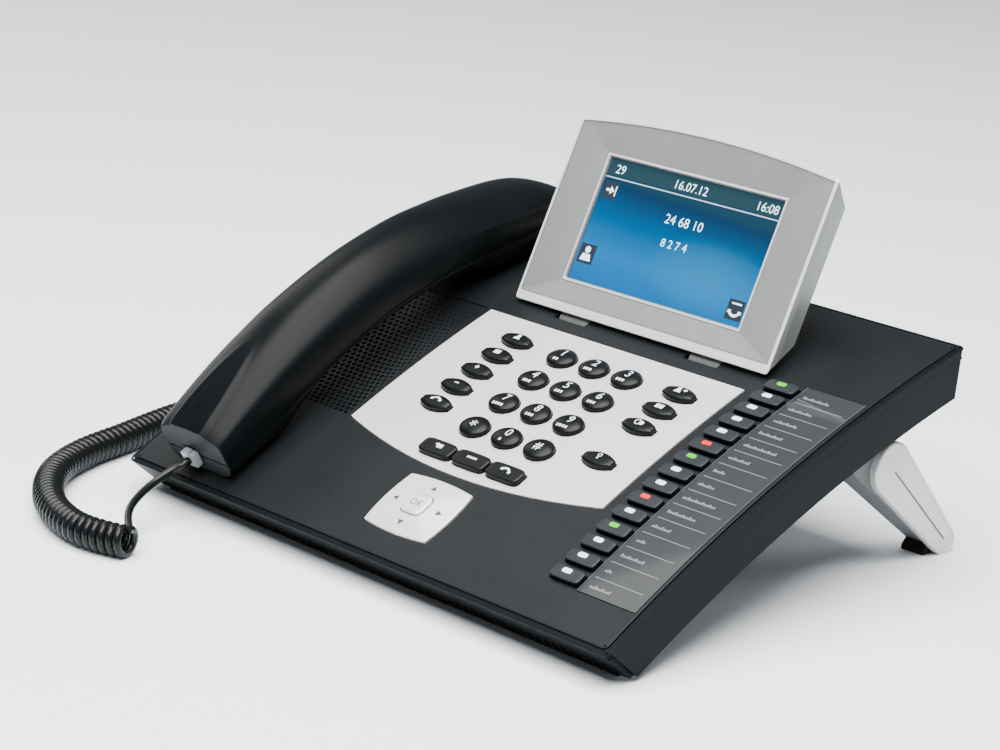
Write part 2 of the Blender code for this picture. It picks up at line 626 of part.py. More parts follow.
def stand(pivot, mat):
    """Two legs on a cross bar with a short web; the toes are cut flat by the table."""
    piece = cylinder_x("stand", BAR_RADIUS, (-LEG_X[0] - 2, LEG_X[0] + 2), 0, 0, mat, pivot)
    for side in (-1, 1):
        edges = sorted((side * LEG_X[0], side * LEG_X[1]))
        boolean(piece, prism("stand_leg", teardrop(PIVOT_RADIUS, TOE_RADIUS), edges, None, pivot), "UNION")
    heading = math.atan2(TOE_Z - PIVOT_Z, TOE_Y - PIVOT_Y)
    web = box("stand_web", (-LUG_X[0] + 4, LUG_X[0] - 4), (0.0, WEB_LENGTH),
              (-WEB_THICKNESS / 2, WEB_THICKNESS / 2), None, pivot, Matrix.Rotation(heading, 4, "X"))
    boolean(piece, web, "UNION")
    below = [(20.0, table_z(PIVOT_Y + 20.0) - PIVOT_Z), (60.0, table_z(PIVOT_Y + 60.0) - PIVOT_Z),
             (60.0, -140.0), (20.0, -140.0)]
    boolean(piece, prism("table_cut", below, (-150.0, 150.0), None, pivot))
    return piece


# ---- handset ------------------------------------------------------------------------
def crown_ring(row):
    """Back shell section: up one side, over the crown from crease to crease, down the other."""
    s, half, crest, shoulder, seam, _ = row
    shares = [math.cos(math.pi * step / 8) for step in range(9)]
    over = [(half * share, shoulder + (crest - shoulder) * (1 - abs(share) ** 2.3)) for share in shares]
    sides = [(half + 0.2, seam + GAP / 2), *over, (-half - 0.2, seam + GAP / 2)]
    return [(HANDSET_X + x, s, h) for x, h in sides]


def keel_ring(row):
    """Front shell section: down one side, across the underside and up the other."""
    s, half, _, _, seam, under = row
    top = seam - GAP / 2
    depth = top - under
    side = [(half + 0.2, top), (half + 0.2, top - 0.35 * depth), (half - 2.0, top - 0.78 * depth),
            (half - 6.0, under)]
    flat = [(half * 0.3, under - 0.2), (-half * 0.3, under - 0.2)]
    points = [*side, *flat, *[(-x, h) for x, h in reversed(side)]]
    return [(HANDSET_X + x, s, h) for x, h in points]


def handset_shell(name, ring_of, parent, mat):
    """Open shell through the handset's stations, closed at both ends by flat walls."""
    mesh = bmesh.new()
    rows = smooth_route(HANDSET_STATIONS, HANDSET_ROW_STEP)
    loops = [[mesh.verts.new(point) for point in ring_of(row)] for row in rows]
    for near, far in zip(loops, loops[1:]):
        for step in range(len(near) - 1):
            mesh.faces.new((near[step], near[step + 1], far[step + 1], far[step]))
    mesh.faces.new(loops[0])
    mesh.faces.new(loops[-1])
    bend(mesh)
    rest = deck_point(HANDSET_X, HANDSET_LIFT_S, 0.0)
    bmesh.ops.translate(mesh, vec=-rest, verts=mesh.verts)
    shell = finish_mesh(mesh, name, mat, parent, None, 40)
    solidify(shell, HANDSET_WALL)
    return shell


def jack_cut(parent, rest):
    """Opening for the cord's plug in the lower end of the handset."""
    width, _, height = PLUG
    matrix = Matrix.Translation(-rest * MM) @ deck_matrix(JACK_X, HANDSET_STATIONS[0][0], JACK_H)
    return box("handset_jack", (-width / 2 - 0.5, width / 2 + 0.5), (-8.0, 6.0),
               (-height / 2 - 0.5, height / 2 + 0.5), None, parent, matrix)


def handset(deck, black):
    rest = deck_point(HANDSET_X, HANDSET_LIFT_S, 0.0)
    carrier = empty("handset_rest", deck, Matrix.Translation(rest * MM))
    jack = jack_cut(carrier, rest)
    for name, ring_of in (("handset_back", crown_ring), ("handset_front", keel_ring)):
        boolean(handset_shell(name, ring_of, carrier, black), jack)
    return carrier


def plug(name, parent, matrix, mat):
    """Modular plug with its latch; its rear face looks along -Y of its matrix."""
    width, length, height = PLUG
    body = box(name, (-width / 2, width / 2), (0.0, length), (-height / 2, height / 2), mat, parent, matrix)
    latch = box(name + "_latch", (-1.6, 1.6), (-0.9, 2.4), (height / 2 - 0.8, height / 2 + 1.4), None, parent,
                matrix)
    boolean(body, latch, "UNION")


# ---- cord ---------------------------------------------------------------------------
def on_table(point):
    return Vector((point[0], point[1] + ORIGIN_Y, point[2]))


def cord(deck_frame, carrier, mats):
    """Handset lead, curly part on the table, and the lead to the jack in the left side."""
    black, clear = mats["cord_black"], mats["clear_plug"]
    rest = deck_point(HANDSET_X, HANDSET_LIFT_S, 0.0)
    rear_s = HANDSET_STATIONS[0][0] - 3.0
    handset_end = deck_matrix(JACK_X, rear_s, JACK_H)
    plug("handset_plug", carrier, Matrix.Translation(-rest * MM) @ handset_end, clear)
    frame = deck_frame.matrix_basis
    start = [(frame @ handset_end @ Vector((0, -ahead * MM, 0))) / MM for ahead in (GAP, 2.5)]
    lead = start + [on_table(point) for point in HANDSET_LEAD]
    tube("handset_lead", smooth_route(lead, 8.0), WIRE_DIAMETER, black)
    coil = [on_table((x, y, COIL_DIAMETER / 2 + 0.1)) for x, y in COIL_ROUTE]
    tube("cord_coil", smooth_route(coil, 9.0), COIL_DIAMETER, black, 3)
    wall = Matrix.Translation(Vector((-BODY_WIDTH / 2 - 5.0, 0, 0)) * MM)
    base_end = deck_matrix(0.0, BASE_JACK_S, BASE_JACK_H) @ wall @ Matrix.Rotation(math.radians(-90), 4, "Z")
    plug("base_plug", deck_frame, base_end, clear)
    end = [(frame @ base_end @ Vector((0, -ahead * MM, 0))) / MM for ahead in (2.5, GAP)]
    base = [on_table(point) for point in BASE_LEAD] + end
    tube("base_lead", smooth_route(base, 8.0), WIRE_DIAMETER, black)


# ---- the phone ----------------------------------------------------------------------
def build_phone():
    mats = {name: material(name, *look) for name, look in {
        "deck_black": ((0.040, 0.043, 0.046), 0.62), "body_black": ((0.024, 0.026, 0.028), 0.55),
        "keypad_silver": ((0.62, 0.61, 0.60), 0.42), "display_silver": ((0.46, 0.47, 0.47), 0.38),
        "key_black": ((0.012, 0.014, 0.016), 0.3), "nav_silver": ((0.70, 0.69, 0.67), 0.35),
        "handset_black": ((0.014, 0.015, 0.017), 0.28), "cord_black": ((0.010, 0.011, 0.012), 0.35),
        "clear_plug": ((0.55, 0.57, 0.58), 0.15), "screen": ((0.01, 0.25, 0.55), 0.1),
        "label_clear": ((0.16, 0.17, 0.18), 0.12), "stand_silver": ((0.50, 0.50, 0.49), 0.4),
        "rubber": ((0.02, 0.02, 0.02), 0.9), "board_green": ((0.03, 0.16, 0.07), 0.5)}.items()}
    deck = empty("deck", None, deck_to_table())
    keys = key_places()
    deck_lid(deck, keys, mats["deck_black"])
    body_tub(deck, mats["body_black"])
    main_board(deck, mats["board_green"])
    speaker_grille(deck, mats["deck_black"])
    front_foot(deck, mats["rubber"])
    plate = keypad_region("keypad_plate", 0.0, PLATE_H, mats["keypad_silver"], deck)
    for name, x, s, shape in keys:
        key(name, x, s, shape, deck, mats["key_black"])
        if not name.startswith("line_key"):
            boolean(plate, key_hole(x, s, key_outline(shape, GAP), deck))
    nav_keys(deck, mats["nav_silver"])
    arched("label_cover", LABEL_X, LABEL_S, (-1.0, 0.15), mats["label_clear"], deck)
    box("hook_switch", (-3.4, 3.4), (-2.4, 2.4), (-5.4, 0.2), mats["key_black"], deck, hook_matrix(), 0.3)
    hinge = empty("display_hinge", deck, Matrix.Translation(Vector((DISPLAY_X, HINGE_Y, HINGE_Z)) * MM)
                  @ Matrix.Rotation(DISPLAY_ANGLE, 4, "X"))
    display(hinge, mats["display_silver"], mats["display_silver"], mats["screen"])
    pivot = empty("stand_pivot", deck, Matrix.Translation(Vector((0, PIVOT_Y, PIVOT_Z)) * MM))
    stand(pivot, mats["stand_silver"])
    carrier = handset(deck, mats["handset_black"])
    cord(deck, carrier, mats)


clear_scene()
PARTS = collection("desk_phone")
CUTTERS = collection("cutters", hidden=True)
build_phone()
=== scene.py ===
"""Desk IP phone: the finished look of its casing, keys, display, handset, cord and stand."""

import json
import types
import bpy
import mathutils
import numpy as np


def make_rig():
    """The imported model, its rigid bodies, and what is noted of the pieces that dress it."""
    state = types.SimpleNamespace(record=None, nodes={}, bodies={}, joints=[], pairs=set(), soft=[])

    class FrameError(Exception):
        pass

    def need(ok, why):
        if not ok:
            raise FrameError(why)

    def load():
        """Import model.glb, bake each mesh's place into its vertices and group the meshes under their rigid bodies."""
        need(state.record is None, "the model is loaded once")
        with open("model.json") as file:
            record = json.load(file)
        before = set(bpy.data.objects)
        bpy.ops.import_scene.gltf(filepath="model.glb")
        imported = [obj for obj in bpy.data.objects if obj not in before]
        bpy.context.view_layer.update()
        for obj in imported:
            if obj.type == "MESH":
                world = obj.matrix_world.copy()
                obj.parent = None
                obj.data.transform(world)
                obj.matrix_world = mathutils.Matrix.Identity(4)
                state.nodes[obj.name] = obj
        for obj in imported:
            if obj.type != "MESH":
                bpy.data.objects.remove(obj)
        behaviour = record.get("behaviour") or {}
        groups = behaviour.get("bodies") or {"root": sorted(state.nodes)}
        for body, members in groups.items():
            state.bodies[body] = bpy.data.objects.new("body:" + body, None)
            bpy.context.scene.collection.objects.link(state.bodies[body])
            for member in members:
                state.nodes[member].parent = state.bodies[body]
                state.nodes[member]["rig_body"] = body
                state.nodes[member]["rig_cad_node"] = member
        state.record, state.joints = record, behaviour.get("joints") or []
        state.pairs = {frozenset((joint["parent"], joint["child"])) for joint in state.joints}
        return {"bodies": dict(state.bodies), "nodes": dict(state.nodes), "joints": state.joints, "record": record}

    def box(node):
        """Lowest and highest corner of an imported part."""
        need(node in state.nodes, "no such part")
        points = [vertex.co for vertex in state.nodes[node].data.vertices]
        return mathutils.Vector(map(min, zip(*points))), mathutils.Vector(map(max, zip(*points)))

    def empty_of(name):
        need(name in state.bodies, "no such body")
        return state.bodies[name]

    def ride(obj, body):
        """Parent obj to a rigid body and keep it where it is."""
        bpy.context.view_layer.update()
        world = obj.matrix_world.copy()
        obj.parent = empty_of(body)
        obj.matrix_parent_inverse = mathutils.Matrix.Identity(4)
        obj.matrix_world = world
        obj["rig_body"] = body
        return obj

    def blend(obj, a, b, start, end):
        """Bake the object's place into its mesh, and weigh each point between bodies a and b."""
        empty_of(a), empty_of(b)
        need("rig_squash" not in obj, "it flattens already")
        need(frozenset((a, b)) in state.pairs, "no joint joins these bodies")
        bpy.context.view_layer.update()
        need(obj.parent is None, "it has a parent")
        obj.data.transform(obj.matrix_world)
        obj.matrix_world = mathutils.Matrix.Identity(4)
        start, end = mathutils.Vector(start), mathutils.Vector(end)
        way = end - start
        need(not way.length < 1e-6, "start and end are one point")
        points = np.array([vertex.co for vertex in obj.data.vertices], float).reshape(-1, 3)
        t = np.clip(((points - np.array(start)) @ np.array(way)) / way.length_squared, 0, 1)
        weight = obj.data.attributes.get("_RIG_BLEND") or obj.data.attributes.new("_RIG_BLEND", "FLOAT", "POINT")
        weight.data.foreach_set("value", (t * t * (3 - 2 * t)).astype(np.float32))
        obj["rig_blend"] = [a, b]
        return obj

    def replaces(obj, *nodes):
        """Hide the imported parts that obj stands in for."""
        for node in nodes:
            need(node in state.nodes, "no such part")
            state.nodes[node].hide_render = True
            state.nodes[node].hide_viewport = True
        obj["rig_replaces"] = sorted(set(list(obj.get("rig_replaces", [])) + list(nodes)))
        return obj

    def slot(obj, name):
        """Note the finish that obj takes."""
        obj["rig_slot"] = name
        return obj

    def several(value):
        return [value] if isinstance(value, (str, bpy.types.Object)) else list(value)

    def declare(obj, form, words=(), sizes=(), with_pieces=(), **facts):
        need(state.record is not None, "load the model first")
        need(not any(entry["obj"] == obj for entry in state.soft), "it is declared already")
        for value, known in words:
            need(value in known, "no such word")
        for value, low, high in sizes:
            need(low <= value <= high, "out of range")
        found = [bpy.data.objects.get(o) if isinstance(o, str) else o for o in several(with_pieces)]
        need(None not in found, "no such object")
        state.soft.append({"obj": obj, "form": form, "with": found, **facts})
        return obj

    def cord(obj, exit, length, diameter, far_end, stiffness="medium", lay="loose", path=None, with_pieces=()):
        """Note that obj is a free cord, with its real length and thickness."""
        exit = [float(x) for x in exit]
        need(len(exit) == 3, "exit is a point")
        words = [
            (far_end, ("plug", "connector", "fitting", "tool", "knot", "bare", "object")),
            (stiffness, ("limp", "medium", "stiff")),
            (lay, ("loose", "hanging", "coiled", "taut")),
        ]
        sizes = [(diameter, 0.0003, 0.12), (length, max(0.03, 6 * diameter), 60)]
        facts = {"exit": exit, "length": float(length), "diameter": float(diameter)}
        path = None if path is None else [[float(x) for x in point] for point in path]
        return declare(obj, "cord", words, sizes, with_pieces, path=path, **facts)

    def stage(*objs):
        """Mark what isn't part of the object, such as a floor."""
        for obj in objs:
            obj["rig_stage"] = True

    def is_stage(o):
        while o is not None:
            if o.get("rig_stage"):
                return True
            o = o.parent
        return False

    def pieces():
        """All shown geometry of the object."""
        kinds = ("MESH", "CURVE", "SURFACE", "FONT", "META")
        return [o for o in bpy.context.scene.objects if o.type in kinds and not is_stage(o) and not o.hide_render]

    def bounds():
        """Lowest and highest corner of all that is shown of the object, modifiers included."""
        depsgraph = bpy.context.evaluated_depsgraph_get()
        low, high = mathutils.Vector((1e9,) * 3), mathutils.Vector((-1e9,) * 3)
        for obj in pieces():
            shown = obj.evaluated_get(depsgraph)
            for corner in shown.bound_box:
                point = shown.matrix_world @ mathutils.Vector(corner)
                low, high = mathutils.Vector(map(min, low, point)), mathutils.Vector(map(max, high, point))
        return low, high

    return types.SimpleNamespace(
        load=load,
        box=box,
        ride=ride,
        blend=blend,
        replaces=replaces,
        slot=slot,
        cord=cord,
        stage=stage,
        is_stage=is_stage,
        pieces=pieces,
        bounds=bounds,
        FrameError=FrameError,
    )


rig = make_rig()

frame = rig.load()

import json
import math

import bmesh
import bpy
from mathutils import Matrix, Vector

CAD_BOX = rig.bounds()
MM = 0.001
JOINTS = {joint["name"]: joint for joint in frame["joints"]}

# ---- places: the arched deck, the display and the stand ------------------------------
DECK_RADIUS, DECK_ARC = 731.8, 215.0          # radius of the arch and its length, mm
HINGE_X, HINGE_Y, HINGE_Z = 15.3, 158.0, 2.0  # display hinge in the deck's own frame, mm
DISPLAY_ANGLE = math.radians(42.2)            # display's lean past the deck
NORMAL = Vector(JOINTS["handset_lift"]["axis"]).normalized()
TILT = math.atan2(-NORMAL.y, NORMAL.z)
HINGE = Vector(JOINTS["display_tilt"]["pos_m"])
DECK = (Matrix.Translation(HINGE) @ Matrix.Rotation(TILT, 4, "X")
        @ Matrix.Translation(-Vector((HINGE_X, HINGE_Y, HINGE_Z)) * MM))
DISPLAY = Matrix.Translation(HINGE) @ Matrix.Rotation(TILT + DISPLAY_ANGLE, 4, "X")
PIVOT = Matrix.Translation(Vector(JOINTS["stand_fold"]["pos_m"])) @ Matrix.Rotation(TILT, 4, "X")
HALF_CHORD = DECK_RADIUS * math.sin(DECK_ARC / 2 / DECK_RADIUS)
DROP = DECK_RADIUS * math.cos(DECK_ARC / 2 / DECK_RADIUS)
FRONT_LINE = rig.box("front_foot")[0].y / MM   # contact line of the front rubber strip, mm

# ---- sizes of the body, mm -----------------------------------------------------------
BODY_WIDTH, BODY_HEIGHT, WALL, GAP = 272.0, 19.2, 2.4, 0.35
END_LEAN, RIM_DROP = 0.365, 0.5
GRILLE_X, GRILLE_S, GRILLE_DISH = (-118.6, -61.6), (61.0, 146.0), 3.6
LABEL_X, LABEL_S = (103.3, 131.3), (21.5, 157.9)
LINE_KEY_X, LINE_KEY_S, LINE_PITCH = 95.2, 151.5, 9.0
NAV_X, NAV_S = 11.0, 29.8


def deck_point(x, s, h):
    """Row-frame point of a deck place: x across, s along the arch, h above it."""
    angle = (s - DECK_ARC / 2) / DECK_RADIUS
    radius = DECK_RADIUS + h
    return DECK @ (Vector((x, radius * math.sin(angle) + HALF_CHORD, radius * math.cos(angle) - DROP)) * MM)


def deck_frame(x, s, h=0.0):
    """Local frame on the deck, Z along its normal; its unit is one millimetre."""
    angle = (s - DECK_ARC / 2) / DECK_RADIUS
    return (Matrix.Translation(deck_point(x, s, h)) @ Matrix.Rotation(TILT - angle, 4, "X")
            @ Matrix.Scale(MM, 4))


DISPLAY_MM = DISPLAY @ Matrix.Scale(MM, 4)
PIVOT_MM = PIVOT @ Matrix.Scale(MM, 4)


# ---- node trees ----------------------------------------------------------------------
class Wire:
    """A socket that can be written in sums."""

    def __init__(self, loom, socket):
        self.loom, self.socket = loom, socket

    def sum(self, operation, *values):
        return self.loom.node("ShaderNodeMath", {"operation": operation}, dict(enumerate(values)))

    def __add__(self, other):
        return self.sum("ADD", self, other)

    def __sub__(self, other):
        return self.sum("SUBTRACT", self, other)

    def __mul__(self, other):
        return self.sum("MULTIPLY", self, other)

    def __truediv__(self, other):
        return self.sum("DIVIDE", self, other)

    def __mod__(self, other):
        return self.sum("FLOORED_MODULO", self, other)

    def __gt__(self, other):
        return self.sum("GREATER_THAN", self, other)

    def __lt__(self, other):
        return self.sum("LESS_THAN", self, other)

    def __rsub__(self, other):
        return self.sum("SUBTRACT", other, self)

    __radd__, __rmul__ = __add__, __mul__

    def clamp(self):
        return self.sum("MINIMUM", self.sum("MAXIMUM", self, 0.0), 1.0)

    def floor(self):
        return self.sum("FLOOR", self)

    def size(self):
        return self.sum("ABSOLUTE", self)


class Loom:
    """Makes the nodes of one tree."""

    def __init__(self, tree):
        self.tree = tree

    def node(self, kind, settings=None, values=None, output=0):
        made = self.tree.nodes.new(kind)
        for name, value in (settings or {}).items():
            if name == "stops":
                ramp = made.color_ramp
                while len(ramp.elements) < len(value):
                    ramp.elements.new(0.5)
                for stop, (place, colour) in zip(ramp.elements, value):
                    stop.position, stop.color = place, (*colour, 1.0)
            else:
                setattr(made, name, value)
        for name, value in (values or {}).items():
            self.feed(made.inputs[name], value)
        return Wire(self, made.outputs[output])

    def feed(self, socket, value):
        if isinstance(value, Wire):
            self.tree.links.new(value.socket, socket)
        else:
            socket.default_value = value


class Finish(Loom):
    """One procedural finish; fixed sockets are set by name, patterns are fed in."""

    def __init__(self, name, **fixed):
        self.material = bpy.data.materials.new(name)
        self.material.use_nodes = True
        super().__init__(self.material.node_tree)
        self.shader = self.tree.nodes["Principled BSDF"]
        for socket, value in fixed.items():
            self.shader.inputs[socket.replace("_", " ")].default_value = value

    def place(self, matrix=None):
        """Object coordinates, in the frame of a matrix if one is given."""
        at = self.node("ShaderNodeTexCoord", output="Object")
        if matrix is None:
            return at
        location, turn, scale = matrix.inverted().decompose()
        return self.node("ShaderNodeMapping", None, {
            "Vector": at, "Location": location, "Rotation": turn.to_euler(), "Scale": scale})

    def axes(self, vector):
        split = self.node("ShaderNodeSeparateXYZ", None, {0: vector}).socket.node
        return [Wire(self, socket) for socket in split.outputs]

    def noise(self, at, scale, detail=2.0, roughness=0.5):
        return self.node("ShaderNodeTexNoise", {"noise_dimensions": "3D"}, {
            "Vector": at, "Scale": scale, "Detail": detail, "Roughness": roughness}, "Fac")

    def cells(self, at, scale):
        return self.node("ShaderNodeTexVoronoi", {"feature": "F1"}, {"Vector": at, "Scale": scale},
                         "Distance")

    def ramp(self, factor, *stops):
        return self.node("ShaderNodeValToRGB", {"stops": stops}, {"Fac": factor}, "Color")

    def mix(self, factor, one, two):
        colours = [value if isinstance(value, Wire) else (*value, 1.0) for value in (one, two)]
        return self.node("ShaderNodeMix", {"data_type": "RGBA"}, {
            0: factor, 6: colours[0], 7: colours[1]}, 2)

    def bump(self, height, strength, distance):
        return self.node("ShaderNodeBump", None, {
            "Height": height, "Strength": strength, "Distance": distance}, "Normal")

    def put(self, socket, value):
        self.feed(self.shader.inputs[socket], value)


def plastic(name, dark, light, rough, grain=2200.0, depth=0.35, coat=0.0, shine=0.14):
    """Moulded plastic: a fine spark-eroded grain, faint flow clouds and a roughness that varies with them."""
    finish = Finish(name, Coat_Weight=coat, Coat_Roughness=0.12, Specular_IOR_Level=shine)
    at = finish.place()
    cloud = finish.noise(at, 40.0, 3.0)
    fine = finish.noise(at, grain, 2.0, 0.6)
    pits = finish.cells(at, grain * 0.55)
    finish.put("Base Color", finish.mix((cloud * 0.7 + fine * 0.3 - 0.25).clamp() * 1.4, dark, light))
    finish.put("Roughness", rough + (cloud - 0.5) * 0.06 + (fine - 0.5) * 0.06)
    finish.put("Normal", finish.bump(pits * 0.6 + fine * 0.4, depth, 0.00012))
    return finish.material


def metallic(name, dark, light, rough, grain=5200.0):
    """Silver paint on plastic: fine flakes in a satin lacquer."""
    finish = Finish(name, Metallic=0.35, Coat_Weight=0.18, Coat_Roughness=0.3)
    at = finish.place()
    flakes = finish.cells(at, grain)
    cloud = finish.noise(at, 55.0, 3.0)
    finish.put("Base Color", finish.mix((flakes * 0.5 + cloud * 0.5).clamp(), dark, light))
    finish.put("Roughness", rough + (flakes - 0.5) * 0.10 + (cloud - 0.5) * 0.06)
    finish.put("Normal", finish.bump(finish.noise(at, 2600.0, 2.0), 0.16, 0.0001))
    return finish.material


def glowing(name, colour, level, edge):
    """Diffusing lens lit from behind, mottled between its edge tint and its full colour."""
    finish = Finish(name, Roughness=0.25, Emission_Strength=level)
    at = finish.place()
    cloud = finish.noise(at, 900.0, 2.0)
    tint = finish.mix((cloud * 1.4 - 0.2).clamp(), edge, colour)
    finish.put("Base Color", tint)
    finish.put("Emission Color", tint)
    finish.put("Roughness", 0.2 + cloud * 0.15)
    return finish.material


# ---- pieces --------------------------------------------------------------------------
class Shape:
    """Points and faces of one piece in row-frame metres; a mark picks a face's finish."""

    def __init__(self):
        self.points, self.faces, self.marks = [], [], []

    def add(self, points, faces, mark=0, matrix=None):
        base = len(self.points)
        self.points += [matrix @ Vector(point) if matrix else Vector(point) for point in points]
        self.faces += [[base + corner for corner in face] for face in faces]
        self.marks += [mark] * len(faces)
        return self

    def rings(self, rings, mark=0, matrix=None, ends=(True, True)):
        """Skin between rings of equal count; ends close the first and last ring."""
        count = len(rings[0])
        points = [point for ring in rings for point in ring]
        faces = []
        for row in range(len(rings) - 1):
            for step in range(count):
                after = (step + 1) % count
                faces.append((row * count + step, row * count + after,
                              (row + 1) * count + after, (row + 1) * count + step))
        for wanted, row in zip(ends, (0, len(rings) - 1)):
            if wanted:
                faces.append([row * count + step for step in range(count)])
        return self.add(points, faces, mark, matrix)

    def mesh(self, mesh, mark=0, matrix=None):
        return self.add([vert.co for vert in mesh.vertices],
                        [list(face.vertices) for face in mesh.polygons], mark, matrix)

    def build(self, name, body, slot, finishes, smooth=30.0, replaces=(), outward=True, merge=0.0):
        data = bpy.data.meshes.new(name)
        data.from_pydata(self.points, [], self.faces)
        for finish in finishes:
            data.materials.append(finish)
        data.polygons.foreach_set("material_index", self.marks)
        return finish_piece(name, data, body, slot, smooth, replaces, outward, merge)


def finish_piece(name, data, body, slot, smooth=30.0, replaces=(), outward=True, merge=0.0):
    work = bmesh.new()
    work.from_mesh(data)
    if merge:
        bmesh.ops.remove_doubles(work, verts=work.verts, dist=merge)
        bmesh.ops.dissolve_degenerate(work, edges=work.edges, dist=merge)
    if outward:
        bmesh.ops.recalc_face_normals(work, faces=work.faces)
    work.to_mesh(data)
    work.free()
    data.shade_smooth()
    data.set_sharp_from_angle(angle=math.radians(smooth))
    piece = bpy.data.objects.new(name, data)
    bpy.context.scene.collection.objects.link(piece)
    if body:
        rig.ride(piece, body)
    if slot:
        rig.slot(piece, slot)
    if replaces:
        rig.replaces(piece, *replaces)
    return piece


def repaint(node, *finishes):
    """Gives a CAD node its finish."""
    thing = frame["nodes"][node]
    for place, finish in enumerate(finishes):
        thing.material_slots[place].material = finish


def smooth_route(points, step):
    """Points about one step apart on a smooth curve through the given points."""
    points = [Vector(point) for point in points]
    pieces = [max(1, round((end - start).length / step)) for start, end in zip(points, points[1:])]
    return spline(points, pieces)


def spline(points, pieces):
    """Points on a smooth curve, with a fixed number of pieces between each two."""
    ends = [points[0] * 2 - points[1], *points, points[-1] * 2 - points[-2]]
    route = [points[0]]
    for before, start, end, after, count in zip(ends, ends[1:], ends[2:], ends[3:], pieces):
        for piece in range(1, count + 1):
            t = piece / count
            bent = (2 * before - 5 * start + 4 * end - after) * t * t
            route.append(0.5 * (2 * start + (end - before) * t + bent
                                + (3 * start - before - 3 * end + after) * t ** 3))
    return route


def even_route(points, step):
    """The same line with its points at equal distances."""
    reach = [0.0]
    for one, two in zip(points, points[1:]):
        reach.append(reach[-1] + (two - one).length)
    count = max(2, round(reach[-1] / step))
    made, leg = [], 0
    for index in range(count + 1):
        goal = reach[-1] * index / count
        while leg < len(points) - 2 and reach[leg + 1] < goal:
            leg += 1
        share = (goal - reach[leg]) / max(reach[leg + 1] - reach[leg], 1e-9)
        made.append(points[leg].lerp(points[leg + 1], min(1.0, share)))
    return made


def tube_rings(route, radius, sides):
    """Rings about a line, carried along it without twist."""
    rings, side = [], None
    for index, point in enumerate(route):
        ahead = (route[min(index + 1, len(route) - 1)] - route[max(index - 1, 0)]).normalized()
        if side is None:
            side = ahead.orthogonal().normalized()
        side = (side - ahead * side.dot(ahead)).normalized()
        up = ahead.cross(side)
        rings.append([point + (side * math.cos(turn) + up * math.sin(turn)) * radius
                      for turn in (2 * math.pi * step / sides for step in range(sides))])
    return rings


def raised(outlines, height_at, lift, matrix, shape, mark, sink=0.15, grid=0.8):
    """Flat outlines laid on a curved face as thin raised marks."""
    flat = bmesh.new()
    for outline in outlines:
        flat.faces.new([flat.verts.new((x, y, 0.0)) for x, y in outline])
    drape(flat, height_at, lift, matrix, shape, mark, sink, grid)


def drape(flat, height_at, lift, matrix, shape, mark, sink=0.15, grid=0.8):
    """Flat faces cut into a fine grid, bent to a curved face and given a thickness."""
    bmesh.ops.remove_doubles(flat, verts=flat.verts, dist=0.004)
    for axis in (0, 1):
        low = min(vert.co[axis] for vert in flat.verts)
        high = max(vert.co[axis] for vert in flat.verts)
        cut = low + grid / 2
        while cut < high:
            bmesh.ops.bisect_plane(flat, geom=flat.verts[:] + flat.edges[:] + flat.faces[:],
                                   plane_co=Vector([cut if axis == way else 0.0 for way in range(3)]),
                                   plane_no=Vector([float(axis == way) for way in range(3)]))
            cut += grid
    under = flat.verts[:]
    grown = bmesh.ops.extrude_face_region(flat, geom=flat.faces[:])
    top = {item for item in grown["geom"] if isinstance(item, bmesh.types.BMVert)}
    for vert in flat.verts:
        vert.co.z = height_at(vert.co.x, vert.co.y) + (lift if vert in top else -sink)
    bmesh.ops.recalc_face_normals(flat, faces=flat.faces)
    flat.verts.index_update()
    shape.add([vert.co for vert in flat.verts], [[vert.index for vert in face.verts] for face in flat.faces],
              mark, matrix)
    flat.free()


def lettering(text, size, place, height_at, lift, matrix, shape, mark, grid=0.8):
    """Digits and signs as raised print; place is the middle of the line."""
    curve = bpy.data.curves.new("lettering", "FONT")
    curve.body, curve.size = text, size
    curve.align_x, curve.align_y = "CENTER", "CENTER"
    curve.resolution_u = 3
    carrier = bpy.data.objects.new("lettering", curve)
    bpy.context.scene.collection.objects.link(carrier)
    bpy.context.view_layer.update()
    data = bpy.data.meshes.new_from_object(carrier.evaluated_get(bpy.context.evaluated_depsgraph_get()))
    flat = bmesh.new()
    flat.from_mesh(data)
    bmesh.ops.translate(flat, vec=(place[0], place[1], 0.0), verts=flat.verts)
    drape(flat, height_at, lift, matrix, shape, mark, grid=grid)
    for thing, group in ((carrier, bpy.data.objects), (curve, bpy.data.curves), (data, bpy.data.meshes)):
        group.remove(thing)


